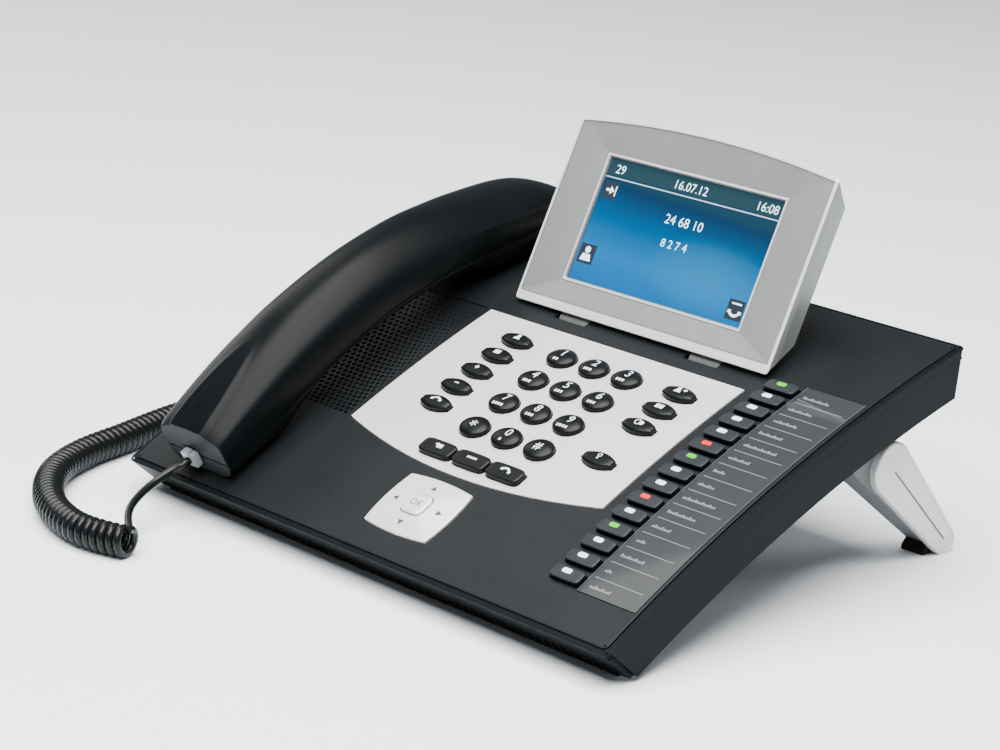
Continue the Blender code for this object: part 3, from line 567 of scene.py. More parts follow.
# ---- growth: repeated pieces by Geometry Nodes ---------------------------------------
class Growth(Loom):
    """A Geometry Nodes tree with named inputs, run once and turned into a plain mesh."""

    def __init__(self, name, inputs):
        super().__init__(bpy.data.node_groups.new(name, "GeometryNodeTree"))
        face = self.tree.interface
        face.new_socket("Geometry", in_out="INPUT", socket_type="NodeSocketGeometry")
        self.identifiers = {label: face.new_socket(label, in_out="INPUT", socket_type=kind).identifier
                            for label, kind in inputs.items()}
        face.new_socket("Geometry", in_out="OUTPUT", socket_type="NodeSocketGeometry")
        self.start = self.tree.nodes.new("NodeGroupInput")

    def given(self, label):
        return Wire(self, self.start.outputs[label])

    def end(self, geometry):
        done = self.node("GeometryNodeRealizeInstances", None, {"Geometry": geometry})
        if "Finish" in self.identifiers:
            done = self.node("GeometryNodeSetMaterial", None, {
                "Geometry": done, "Material": self.given("Finish")})
        self.feed(self.tree.nodes.new("NodeGroupOutput").inputs[0], done)

    def run(self, **values):
        """The plain mesh that the tree grows for these values."""
        data = bpy.data.meshes.new("seed")
        carrier = bpy.data.objects.new("seed", data)
        bpy.context.scene.collection.objects.link(carrier)
        modifier = carrier.modifiers.new("growth", "NODES")
        modifier.node_group = self.tree
        for label, identifier in self.identifiers.items():
            modifier[identifier] = values[label]
        bpy.context.view_layer.update()
        grown = bpy.data.meshes.new_from_object(carrier.evaluated_get(bpy.context.evaluated_depsgraph_get()))
        carrier.modifiers.clear()
        bpy.data.objects.remove(carrier)
        bpy.data.meshes.remove(data)
        return grown


def row_growth():
    """A straight row, or several rows, of one small piece."""
    tree = Growth("row_of_pieces", {
        "Piece": "NodeSocketObject", "Across": "NodeSocketInt", "Along": "NodeSocketInt",
        "Pitch Across": "NodeSocketFloat", "Pitch Along": "NodeSocketFloat", "Finish": "NodeSocketMaterial"})
    across, along = tree.given("Across"), tree.given("Along")
    grid = tree.node("GeometryNodeMeshGrid", None, {
        "Vertices X": across, "Vertices Y": along,
        "Size X": (across - 1.0) * tree.given("Pitch Across"),
        "Size Y": (along - 1.0) * tree.given("Pitch Along")})
    piece = tree.node("GeometryNodeObjectInfo", None, {"Object": tree.given("Piece")}, "Geometry")
    tree.end(tree.node("GeometryNodeInstanceOnPoints", None, {"Points": grid, "Instance": piece}))
    return tree


def perforated_growth():
    """Staggered hexagonal tiles, each with a round hole that narrows away from the middle."""
    tree = Growth("perforated_plate", {
        "Tile": "NodeSocketObject", "Columns": "NodeSocketInt", "Rows": "NodeSocketInt",
        "Pitch": "NodeSocketFloat", "Fade Across": "NodeSocketFloat", "Fade Along": "NodeSocketFloat",
        "Least Hole": "NodeSocketFloat", "Finish": "NodeSocketMaterial"})
    pitch = tree.given("Pitch")
    rise = pitch * (math.sqrt(3) / 2)
    grid = tree.node("GeometryNodeMeshGrid", None, {
        "Vertices X": tree.given("Columns"), "Vertices Y": tree.given("Rows"),
        "Size X": (tree.given("Columns") - 1.0) * pitch, "Size Y": (tree.given("Rows") - 1.0) * rise})
    split = tree.node("ShaderNodeSeparateXYZ", None, {0: tree.node("GeometryNodeInputPosition")}).socket.node
    x, y = Wire(tree, split.outputs[0]), Wire(tree, split.outputs[1])
    odd = (y / rise + 0.25).floor() % 2.0
    shift = tree.node("ShaderNodeCombineXYZ", None, {0: odd * pitch / 2.0})
    points = tree.node("GeometryNodeSetPosition", None, {"Geometry": grid, "Offset": shift})
    narrow = (x * tree.given("Fade Across") + y * tree.given("Fade Along")).clamp()
    least = tree.given("Least Hole")
    for label, kind, value in (("centre", "FLOAT_VECTOR", tree.node("GeometryNodeInputPosition")),
                               ("hole", "FLOAT", least + (1.0 - least) * (1.0 - narrow))):
        points = tree.node("GeometryNodeStoreNamedAttribute", {"data_type": kind, "domain": "POINT"}, {
            "Geometry": points, "Name": label, "Value": value})
    tile = tree.node("GeometryNodeObjectInfo", None, {"Object": tree.given("Tile")}, "Geometry")
    field = tree.node("GeometryNodeInstanceOnPoints", None, {"Points": points, "Instance": tile})
    field = tree.node("GeometryNodeRealizeInstances", None, {"Geometry": field})

    def named(label, kind):
        return tree.node("GeometryNodeInputNamedAttribute", {"data_type": kind}, {"Name": label}, "Attribute")

    out = tree.node("ShaderNodeVectorMath", {"operation": "SUBTRACT"}, {
        0: tree.node("GeometryNodeInputPosition"), 1: named("centre", "FLOAT_VECTOR")})
    flat = tree.node("ShaderNodeVectorMath", {"operation": "MULTIPLY"}, {0: out, 1: (1.0, 1.0, 0.0)})
    move = tree.node("ShaderNodeVectorMath", {"operation": "SCALE"}, {
        0: flat, "Scale": (named("hole", "FLOAT") - 1.0) * named("rim", "FLOAT")})
    tree.end(tree.node("GeometryNodeSetPosition", None, {"Geometry": field, "Offset": move}))
    return tree


def hidden_seed(name, points, faces, rim=None):
    """A small mesh that a tree repeats; it is removed once the tree has run."""
    data = bpy.data.meshes.new(name)
    data.from_pydata(points, [], faces)
    if rim:
        data.attributes.new("rim", "FLOAT", "POINT").data.foreach_set("value", rim)
    thing = bpy.data.objects.new(name, data)
    bpy.context.scene.collection.objects.link(thing)
    return thing


def drop_seed(thing):
    data = thing.data
    bpy.data.objects.remove(thing)
    bpy.data.meshes.remove(data)


ROWS = row_growth()


def row_of(seed, across, along, pitch_across, pitch_along, finish):
    """A grid of one seed about the middle of its own frame, as a plain mesh."""
    grown = ROWS.run(**{"Piece": seed, "Across": across, "Along": along, "Pitch Across": pitch_across,
                        "Pitch Along": pitch_along, "Finish": finish})
    drop_seed(seed)
    return grown


def box_seed(name, x, y, z, chamfer=0.0):
    """Box with chamfered upper edges, as a seed."""
    (x0, x1), (y0, y1), (z0, z1) = x, y, z
    rings = [[(x0 + cut, y0 + cut, level), (x1 - cut, y0 + cut, level), (x1 - cut, y1 - cut, level),
              (x0 + cut, y1 - cut, level)]
             for cut, level in ((0.0, z0), (0.0, z1 - chamfer), (chamfer, z1))]
    shape = Shape().rings(rings)
    return hidden_seed(name, shape.points, shape.faces)


def disc_seed(name, rings, sides=20):
    """Turned piece from (radius, height) rings, as a seed."""
    shape = Shape().rings([[(radius * math.cos(turn), radius * math.sin(turn), level)
                            for turn in (2 * math.pi * step / sides for step in range(sides))]
                           for radius, level in rings])
    return hidden_seed(name, shape.points, shape.faces)


# ---- finishes ------------------------------------------------------------------------
DECK_BLACK = plastic("deck_grain_black", (0.0045, 0.0055, 0.0062), (0.0085, 0.010, 0.011), 0.40, 2300.0, 0.40)
BODY_BLACK = plastic("body_grain_black", (0.0030, 0.0038, 0.0044), (0.006, 0.0072, 0.008), 0.40,
                     2300.0, 0.40, shine=0.05)
HANDSET_BLACK = plastic("handset_satin_black", (0.0020, 0.0025, 0.003), (0.004, 0.005, 0.0055), 0.32,
                        2900.0, 0.22, shine=0.07)
END_BLACK = plastic("handset_end_grain", (0.009, 0.010, 0.011), (0.014, 0.015, 0.016), 0.48, 1900.0, 0.35)
KEY_BLACK = plastic("key_satin_black", (0.0016, 0.0021, 0.0025), (0.0035, 0.0045, 0.005), 0.30, 2600.0, 0.16)
LINE_KEY_GREY = plastic("line_key_grey", (0.011, 0.014, 0.016), (0.019, 0.023, 0.026), 0.40, 2400.0, 0.30)
KEY_WHITE = plastic("key_print_white", (0.62, 0.64, 0.66), (0.80, 0.82, 0.83), 0.50, 3000.0, 0.10)
ARROW_BLUE = plastic("arrow_print_blue", (0.030, 0.045, 0.070), (0.050, 0.070, 0.100), 0.50, 3000.0, 0.10)
PLATE_SILVER = metallic("keypad_plate_silver", (0.52, 0.515, 0.505), (0.64, 0.635, 0.62), 0.44)
DISPLAY_SILVER = metallic("display_silver", (0.185, 0.192, 0.190), (0.250, 0.258, 0.255), 0.36)
LINE_SILVER = metallic("bright_edge_silver", (0.62, 0.63, 0.62), (0.76, 0.77, 0.76), 0.34)
NAV_SILVER = metallic("nav_pad_silver", (0.60, 0.60, 0.575), (0.72, 0.72, 0.69), 0.38)
STAND_SILVER = metallic("stand_silver", (0.50, 0.50, 0.475), (0.62, 0.62, 0.59), 0.42)
STAND_GREY = plastic("stand_inner_grey", (0.115, 0.12, 0.128), (0.16, 0.166, 0.175), 0.5, 2000.0, 0.3)
SCREW_STEEL = metallic("screw_steel", (0.30, 0.30, 0.31), (0.45, 0.45, 0.46), 0.30)
CORD_BLACK = plastic("cord_gloss_black", (0.004, 0.0045, 0.005), (0.007, 0.008, 0.0085), 0.26,
                     1500.0, 0.12, 0.1)
# near-black matte finish: painted shade inside grooves, holes, slots, vents and the cord's socket; also used for the
# loudspeaker cloth under the grille
SHADOW_GROOVE_BLACK = plastic("shadow_groove_black", (0.002, 0.002, 0.002), (0.004, 0.004, 0.004), 0.8,
                       1500.0, 0.2)
RUBBER = plastic("rubber_black", (0.010, 0.010, 0.010), (0.020, 0.020, 0.020), 0.82, 1300.0, 0.6)
PRINT_GREY = plastic("label_print_grey", (0.15, 0.155, 0.155), (0.21, 0.215, 0.215), 0.5, 3000.0, 0.1)
LABEL_EDGE = plastic("label_edge_grey", (0.045, 0.048, 0.050), (0.075, 0.079, 0.082), 0.5, 3000.0, 0.1)
GOLD = metallic("contact_gold", (0.62, 0.42, 0.12), (0.78, 0.55, 0.20), 0.25)
LAMP_WHITE = glowing("lamp_white", (0.72, 0.83, 0.95), 1.1, (0.42, 0.55, 0.68))
LAMP_RED = glowing("lamp_red", (0.80, 0.004, 0.002), 0.45, (0.55, 0.002, 0.002))
LAMP_GREEN = glowing("lamp_green", (0.03, 0.50, 0.002), 0.5, (0.02, 0.32, 0.002))
SCREEN_WHITE = glowing("screen_white", (0.60, 0.76, 0.84), 0.9, (0.45, 0.60, 0.68))
SCREEN_DARK = glowing("screen_dark", (0.010, 0.014, 0.020), 0.3, (0.016, 0.022, 0.030))
SCREEN_LIGHT = glowing("screen_light", (0.30, 0.36, 0.40), 0.9, (0.22, 0.28, 0.32))


def board_finish():
    """Green solder resist over copper tracks."""
    finish = Finish("circuit_board_green", Coat_Weight=0.5, Coat_Roughness=0.15)
    x, y, z = finish.axes(finish.place(DECK))
    across = (x / 0.0025 % 1.0 - 0.5).size() < 0.14
    along = (y / 0.0031 % 1.0 - 0.5).size() < 0.12
    cloud = finish.noise(finish.place(), 90.0, 3.0)
    tracks = (across * (cloud > 0.5) + along * (cloud < 0.5)).clamp()
    finish.put("Base Color", finish.mix(tracks, (0.010, 0.075, 0.035), (0.025, 0.13, 0.06)))
    finish.put("Roughness", 0.42 - tracks * 0.1 + cloud * 0.06)
    finish.put("Normal", finish.bump(tracks, 0.3, 0.0001))
    return finish.material


def clear_plastic(name, colour, transmission):
    """Clear moulded plastic with faint flow lines."""
    finish = Finish(name, Transmission_Weight=transmission, IOR=1.49, Coat_Weight=0.3)
    flow = finish.noise(finish.place(), 140.0, 3.0)
    finish.put("Base Color", finish.mix(flow, colour, [part * 0.85 for part in colour]))
    finish.put("Roughness", 0.10 + flow * 0.10)
    return finish.material


SCREEN_FACE = 3.0             # height above the hinge from which the display glows, mm


def screen_finish():
    """Lit picture of the display: deep blue above, bright blue below, with a soft pale cloud."""
    finish = Finish("screen_picture", Coat_Weight=0.1, Coat_Roughness=0.05, Specular_IOR_Level=0.15,
                    Emission_Strength=0.7)
    x, y, z = finish.axes(finish.place(DISPLAY_MM))
    up = ((y - 16.7) / 54.0).clamp()
    side = ((x + 48.6) / 95.0).clamp()
    cloud = finish.noise(finish.place(), 26.0, 2.0)
    glow_x, glow_y = (side - 0.74) * 1.5, (up - 0.30) * 1.9
    glow = (1.0 - (glow_x * glow_x + glow_y * glow_y) * 3.2).clamp()
    level = (up + side * 0.10 + (cloud - 0.5) * 0.05).clamp()
    sky = finish.ramp(level, (0.0, (0.0, 0.20, 0.62)), (0.28, (0.0, 0.26, 0.70)), (0.52, (0.0, 0.16, 0.44)),
                      (0.70, (0.006, 0.085, 0.23)), (0.80, (0.008, 0.055, 0.14)), (0.86, (0.020, 0.07, 0.12)))
    band = up > 0.868
    sky = finish.mix(glow * 0.45, sky, (0.05, 0.38, 0.76))
    lit = finish.mix(band, sky, (0.030, 0.085, 0.115))
    lit = finish.mix(z > SCREEN_FACE, (0.002, 0.002, 0.003), lit)
    finish.put("Base Color", finish.mix(0.85, lit, (0.0, 0.0, 0.0)))
    finish.put("Emission Color", lit)
    finish.put("Roughness", 0.10 + cloud * 0.04)
    return finish.material


BOARD_GREEN = board_finish()
CLEAR = clear_plastic("clear_plug_plastic", (0.40, 0.42, 0.44), 0.35)
SCREEN_PICTURE = screen_finish()


def label_finish():
    """Clear cover over the dark label card, with a faint ripple."""
    finish = Finish("label_cover_gloss", Coat_Weight=0.7, Coat_Roughness=0.05, Specular_IOR_Level=0.2)
    cloud = finish.noise(finish.place(), 35.0, 2.0)
    fibre = finish.noise(finish.place(), 1200.0, 2.0)
    finish.put("Base Color", finish.mix((fibre * 0.6 + cloud * 0.4).clamp(), (0.013, 0.0150, 0.0165),
                                        (0.022, 0.0245, 0.0265)))
    finish.put("Roughness", 0.34 + (fibre - 0.5) * 0.1)
    finish.put("Normal", finish.bump(finish.noise(finish.place(), 260.0, 1.0), 0.05, 0.0002))
    return finish.material


LABEL_GLOSS = label_finish()


# ---- camera, floor and light ---------------------------------------------------------
def studio():
    camera = bpy.data.objects.new("camera", bpy.data.cameras.new("camera"))
    bpy.context.scene.collection.objects.link(camera)
    ahead, up = Vector((-0.6694, 0.6813, -0.2963)).normalized(), Vector((-0.2379, 0.1813, 0.9542))
    right = ahead.cross(up).normalized()
    turn = Matrix((right, right.cross(ahead), -ahead)).transposed().to_4x4()
    camera.matrix_world = Matrix.Translation((0.7816, -0.8234, 0.4155)) @ turn
    camera.data.lens, camera.data.sensor_width = 106.19, 36.0
    camera.data.clip_start, camera.data.clip_end = 0.05, 50.0
    bpy.context.scene.camera = camera

    finish = Finish("floor_pale", Roughness=0.55)
    cloud = finish.noise(finish.place(), 3.0, 2.0)
    finish.put("Base Color", finish.mix(cloud, (0.83, 0.87, 0.90), (0.86, 0.90, 0.93)))
    ground = bmesh.new()
    bmesh.ops.create_grid(ground, x_segments=8, y_segments=8, size=6.0)
    data = bpy.data.meshes.new("floor")
    ground.to_mesh(data)
    ground.free()
    data.materials.append(finish.material)
    floor = bpy.data.objects.new("floor", data)
    bpy.context.scene.collection.objects.link(floor)
    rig.stage(floor)

    world = bpy.data.worlds.new("studio")
    world.use_nodes = True
    world.node_tree.nodes["Background"].inputs["Color"].default_value = (0.93, 0.96, 1.0, 1.0)
    world.node_tree.nodes["Background"].inputs["Strength"].default_value = 0.24
    bpy.context.scene.world = world
    for name, power, width, length, place, turn in (
            ("overhead_softbox", 130.0, 1.7, 1.6, (0.2, -0.5, 1.5), (0.0, 0.0, 0.0)),
            ("corner_softbox", 2.6, 0.6, 0.6, (-0.784, 0.053, 1.5), (0.0, 0.0, 67.0)),
            ("left_softbox", 6.0, 1.3, 0.6, (-1.6, 0.3, 0.8), (0.0, -66.0, 0.0)),
            ("rear_softbox", 7.0, 0.7, 0.7, (0.9, 1.3, 0.8), (-66.0, 0.0, -34.0))):
        lamp = bpy.data.lights.new(name, "AREA")
        lamp.shape = "RECTANGLE"
        lamp.energy, lamp.size, lamp.size_y = power, width, length
        thing = bpy.data.objects.new(name, lamp)
        thing.location, thing.rotation_euler = place, [math.radians(angle) for angle in turn]
        bpy.context.scene.collection.objects.link(thing)


studio()

# ---- cord ----------------------------------------------------------------------------
WIRE, COIL, COIL_PITCH, TURN_POINTS = 3.4, 13.5, 3.52, 14
JACK_X, JACK_H, HANDSET_END_S = -98.0, 7.5, 9.0
BASE_JACK_S, BASE_JACK_H = 100.0, -10.5
# routes on the table, in millimetres from the front contact line
HANDSET_LEAD = ((-100.5, -20.5, 20.2), (-100.8, -31.0, 16.4), (-97.0, -42.5, 13.2), (-90.5, -51.0, 11.2),
                (-80.5, -58.4, 10.2))
COIL_ROUTE = ((-74.0, -63.5), (-86.0, -67.6), (-101.0, -69.0), (-122.8, -63.3), (-143.5, -50.9),
              (-160.1, -33.8), (-170.5, -11.7), (-176.0, 12.9), (-181.0, 33.4), (-184.2, 50.0),
               (-184.6, 66.0))
BASE_LEAD = ((-189.6, 65.3, 12.0), (-189.0, 69.8, 15.8), (-186.9, 76.6, 18.3), (-182.6, 83.1, 21.5),
             (-176.0, 86.9, 26.0), (-167.5, 86.8, 33.0), (-157.0, 82.0, 42.0))
CURL_TAIL = 12                # points from the curl's end where its wire rises towards the side


def table_point(x, y, z):
    return Vector((x, y + FRONT_LINE, z)) * MM


def coil_points():
    """Centre line of the curled part: a helix of wire about its route, and the route's ends."""
    axis = [table_point(x, y, COIL / 2 + 0.1) for x, y in COIL_ROUTE]
    axis = even_route(smooth_route(axis, 2.0 * MM), COIL_PITCH * MM / TURN_POINTS)
    radius = (COIL - WIRE) / 2 * MM
    points, side = [], Vector((0.0, 0.0, 1.0))
    for index, point in enumerate(axis):
        ahead = (axis[min(index + 1, len(axis) - 1)] - axis[max(index - 1, 0)]).normalized()
        side = (side - ahead * side.dot(ahead)).normalized()
        turn = 2 * math.pi * index / TURN_POINTS
        points.append(point + (side * math.cos(turn) + ahead.cross(side) * math.sin(turn)) * radius)
    return points


def cord_routes():
    """Wire from the handset's plug to the curl, and from the plug in the left side through the curl."""
    out = deck_frame(JACK_X, HANDSET_END_S - 3.0, JACK_H)
    into = (deck_frame(0.0, BASE_JACK_S, BASE_JACK_H) @ Matrix.Translation((-BODY_WIDTH / 2 - 5.0, 0, 0))
            @ Matrix.Rotation(math.radians(-90), 4, "Z"))
    start = [out @ Vector((0, 2.0 - step, 0)) for step in (0.0, 3.0, 6.0)]
    end = [into @ Vector((0, step, 0)) for step in (-6.0, -3.0, 2.0)]
    coil = coil_points()
    lead = start + [table_point(*point) for point in HANDSET_LEAD[:-1]]
    base = [table_point(*point) for point in BASE_LEAD] + end
    lead_in = smooth_route([*lead, coil[0], coil[1]], 2.2 * MM)
    tail = [coil[-CURL_TAIL - 4], coil[-CURL_TAIL - 2], coil[-CURL_TAIL]]
    lead_out = smooth_route([*tail, *base], 2.2 * MM)
    return lead_in, [*coil[1:-CURL_TAIL - 4], *lead_out][::-1]


def cord_piece(name, route, body, replaces):
    shape = Shape().rings(tube_rings(route, WIRE / 2 * MM, 9))
    return shape.build(name, body, "cord_jacket", [CORD_BLACK], 60.0, replaces)


LEAD_LENGTH, CURL_LENGTH = 0.068, 1.88   # metres of wire, the curl stretched straight
lead_route, curl_route = cord_routes()
lead = cord_piece("handset_wire", lead_route, None, ("handset_lead",))
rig.blend(lead, "base", "handset", start=lead_route[-1].lerp(lead_route[0], 0.12),
         end=lead_route[-1].lerp(lead_route[0], 0.93))
curl = cord_piece("curled_wire", curl_route, "base", ("cord_coil", "base_lead"))
for wire, route, length, lay, plug in (
        (lead, lead_route, LEAD_LENGTH, "loose", "handset_plug"),
        (curl, curl_route, CURL_LENGTH, "coiled", "base_plug")):
    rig.cord(wire, exit=route[0], length=length, diameter=WIRE * MM, far_end="object", stiffness="medium",
            lay=lay, path=route, with_pieces=(plug,))

# ---- handset -------------------------------------------------------------------------
HANDSET_X = -95.0
# stations along s: (s, half width, crest, shoulder, seam, underside)
HANDSET_STATIONS = (
    (9.0, 19.0, 23.2, 19.4, 8.8, 1.0), (24.0, 19.4, 27.6, 22.4, 9.6, 0.8),
    (42.0, 19.8, 32.2, 25.2, 10.8, 1.4), (58.0, 20.0, 35.4, 27.0, 12.6, 8.6),
    (76.0, 20.2, 38.2, 28.4, 15.2, 12.6), (107.0, 20.4, 40.2, 29.0, 18.0, 14.0),
    (138.0, 20.8, 38.8, 28.2, 17.2, 12.8), (158.0, 21.0, 35.8, 26.6, 15.6, 8.0),
    (174.0, 21.2, 32.8, 25.0, 13.8, 1.4), (203.0, 21.0, 26.4, 20.6, 11.4, 0.8),
    (218.0, 19.6, 19.4, 15.2, 9.0, 1.0), (227.0, 17.0, 11.0, 9.0, 6.4, 2.6))
CROWN_STEPS = 60
RIDGE_HALF, RIDGE_REACH, RIDGE_HEIGHT, RIDGE_WIDTH = 9.2, 46.0, 0.9, 1.15


def ridge(x, s):
    """Height of the two soft ridges that meet in a pointed arch above the handset's lower end."""
    along = (s - HANDSET_END_S) / RIDGE_REACH
    if along >= 1.0:
        return 0.0
    half = RIDGE_HALF * (1.0 - along ** 1.8) ** 0.8
    fade = (1.0 - along) ** 0.6
    land = 0.35 / (1.0 + math.exp((abs(x) - half) / 0.5))
    return fade * (RIDGE_HEIGHT * math.exp(-((abs(x) - half) / RIDGE_WIDTH) ** 2) + land)


def crown_section(row, inset=0.0):
    """Back shell across: side walls up to a creased shoulder, and the flat arch between them."""
    s, half, crest, shoulder, seam, _ = row
    half -= inset
    over = []
    for step in range(CROWN_STEPS + 1):
        x = half * math.cos(math.pi * step / CROWN_STEPS)
        lift = (1.0 - (abs(x) / half) ** 2.3) * (crest - shoulder)
        edge = 0.9 * (abs(x) / half) ** 16
        over.append((x, shoulder - edge - inset + lift + ridge(x, s)))
    low = seam + GAP / 2 + inset * 0.3
    return [(half + 0.1, low), (half + 0.2, low + 0.5), *over, (-half - 0.2, low + 0.5), (-half - 0.1, low)]


def keel_section(row, inset=0.0):
    """Front shell across: from the seam down round the corners to the flat underside."""
    _, half, _, _, seam, under = row
    top, half = seam - GAP / 2 - inset * 0.3, half - inset
    depth = top - under
    side = [(half + 0.2, top), (half + 0.2, top - 0.35 * depth), (half - 2.0, top - 0.78 * depth),
            (half - 6.0, under)]
    corner = [(point.x, point.y) for point in spline([Vector(point) for point in side], [6, 6, 6])]
    flat = [(half * share, under - 0.2) for share in (0.4, 0.2, 0.0, -0.2, -0.4)]
    return [*corner, *flat, *[(-x, h) for x, h in reversed(corner)]]


def handset_rows():
    """Stations about 3 mm apart along the handset."""
    rows = [tuple(row) for row in smooth_route(HANDSET_STATIONS, 3.0)]
    return [row for row in rows if row[0] <= HANDSET_STATIONS[-1][0]]


def handset_skin(name, section, finishes, node):
    """One shell of the handset, with a small round over at each end."""
    rows = handset_rows()
    rings = []
    first, last = rows[0], rows[-1]
    between = [(row, 0.0, 0.0) for row in rows[1:-1]]
    for row, inset, shift in ((first, 0.8, 0.0), (first, 0.35, 0.12), *between,
                              (last, 0.0, -0.6), (last, 0.7, 0.0)):
        ring = [(x, row[0] + shift, h) for x, h in section(row, inset)]
        rings.append([deck_point(HANDSET_X + x, s, h) for x, s, h in ring])
    shape = Shape()
    shape.rings(rings, ends=(False, True))
    shape.add(rings[0], [list(range(len(rings[0])))], 1)
    return shape.build(name, "handset", "handset_plastic", finishes, 38.0, (node,))


handset_skin("handset_crown", crown_section, [HANDSET_BLACK, END_BLACK], "handset_back")
handset_skin("handset_keel", keel_section, [HANDSET_BLACK, END_BLACK], "handset_front")


def handset_openings():
    """Shadowed frame of the cord's socket, and the listening and speaking holes underneath."""
    shape = Shape()
    frame_at = deck_frame(JACK_X, HANDSET_END_S, JACK_H)
    outer, inner = (5.0, 4.3), (4.1, 3.5)
    rings = [[(x * w, y, z * h) for x, z in ((-1, -1), (1, -1), (1, 1), (-1, 1))]
             for (w, h), y in ((outer, 0.3), (outer, -0.12), (inner, -0.12), (inner, 0.3))]
    shape.rings([*rings, rings[0]], ends=(False, False), matrix=frame_at)
    shape.build("handset_socket_frame", "handset", "handset_plastic", [SHADOW_GROOVE_BLACK], 30.0, merge=1e-6)
    for name, s, count in (("speaking_holes", 27.0, 4), ("listening_holes", 189.0, 6)):
        under = -0.28 + (0.8 if s < 100 else 1.15)
        seed = disc_seed("hole", [(0.85, -0.05), (0.85, 0.25), (0.55, 0.25), (0.5, 0.05)], 16)
        grown = row_of(seed, count, count - 1, 3.0, 3.0, SHADOW_GROOVE_BLACK)
        holes = Shape().mesh(grown, 0, deck_frame(HANDSET_X, s, under) @ Matrix.Rotation(math.pi, 4, "X"))
        holes.build(name, "handset", "handset_plastic", [SHADOW_GROOVE_BLACK], 30.0)


handset_openings()
repaint("handset_plug", CLEAR)
repaint("base_plug", CLEAR)

# ---- keys ----------------------------------------------------------------------------
# face sizes: length across, length along, roundness, height; roundness 0 is barrel shaped
DIGIT_KEY, SIDE_KEY = (14.0, 11.6, 2.0, 3.2), (15.6, 8.0, 0.0, 3.0)
CALL_KEY, LINE_KEY = (17.6, 8.0, 5.0, 2.8), (14.8, 6.2, 7.0, 2.2)
OK_KEY = (11.2, 10.6, 4.0, 2.9)
NAV_PAD, NAV_BOW = (36.6, 31.0, 2.0), 1.4   # across, along, height; how far its sides bow out
BARREL_END, KEY_FOOT, KEY_SIDES = 0.42, -4.6, 44
DIGIT_X, DIGIT_PITCH_X, DIGIT_S, DIGIT_PITCH_S = -1.3, 17.8, 128.1, 17.3
LEFT_KEY_X, LEFT_KEY_S, SIDE_PITCH_S = -28.4, 129.6, 12.1
RIGHT_KEY_X, RIGHT_KEY_S, LOW_RIGHT_KEY_S = 61.6, 129.1, 81.2
CALL_KEY_X, CALL_PITCH_X, CALL_KEY_S = -5.4, 18.7, 59.0
LINE_LAMPS = "GWWWWRGWWRWGWWW"     # lamp of each line key, from the rear to the front


def face_place(shape, x, y):
    """How far out a point of a key's face is: 0 in the middle, 1 on its outline."""
    width, length, power, _ = shape
    across, along = abs(x) / (width / 2), abs(y) / (length / 2)
    if power:
        return (across ** power + along ** power) ** (1 / power)
    bow = (along + math.sqrt(along * along + 4 * (1 - BARREL_END) * across * across)) / 2
    return max(across, bow)


def key_outline(shape):
    points = []
    for step in range(KEY_SIDES):
        turn = 2 * math.pi * (step + 0.5) / KEY_SIDES
        x, y = math.cos(turn) * shape[0] / 2, math.sin(turn) * shape[1] / 2
        reach = face_place(shape, x, y)
        points.append((x / reach, y / reach))
    return points


def dome(shape, fall, roundness, dish=0.0):
    """Height of a key's face at a place on it."""
    def height_at(x, y):
        out = min(1.0, face_place(shape, x, y))
        return shape[3] - fall * (1 - math.sqrt(max(0.0, 1 - out ** roundness))) - dish * (1 - out * out)
    return height_at


def key_cap(shape, height_at, whole):
    """Side wall and domed face of a key."""
    outline = key_outline(shape)
    edge = height_at(*outline[0])
    rings = [[(x, y, level) for x, y in outline] for level in (KEY_FOOT, edge - 0.6)]
    for share in (1.0, 0.99, 0.965, 0.92, 0.85, 0.74, 0.6, 0.42, 0.22, 0.06):
        inner = share * 0.9999
        rings.append([(x * share, y * share, height_at(x * inner, y * inner)) for x, y in outline])
    return Shape().rings(rings, matrix=whole)


def arc_mark(radius, width, start, sweep, centre=(0.0, 0.0), steps=8):
    """Outline of a bent bar."""
    turns = [math.radians(start + sweep * step / steps) for step in range(steps + 1)]
    sides = [[(centre[0] + math.cos(turn) * reach, centre[1] + math.sin(turn) * reach) for turn in turns]
             for reach in (radius + width / 2, radius - width / 2)]
    return sides[0] + sides[1][::-1]


def bar(x, y, width, height):
    return [(x - width / 2, y - height / 2), (x + width / 2, y - height / 2),
            (x + width / 2, y + height / 2), (x - width / 2, y + height / 2)]


def disc(x, y, radius, steps=12):
    return [(x + radius * math.cos(turn), y + radius * math.sin(turn))
            for turn in (2 * math.pi * step / steps for step in range(steps))]


def handset_sign(lean=0.0):
    """Sign of a telephone handset."""
    marks = [arc_mark(1.9, 0.75, 35, 110, (0.0, -1.1)), bar(-1.75, -0.2, 1.1, 0.9), bar(1.75, -0.2, 1.1, 0.9)]
    cos, sin = math.cos(lean), math.sin(lean)
    return [[(x * cos - y * sin, x * sin + y * cos) for x, y in mark] for mark in marks]


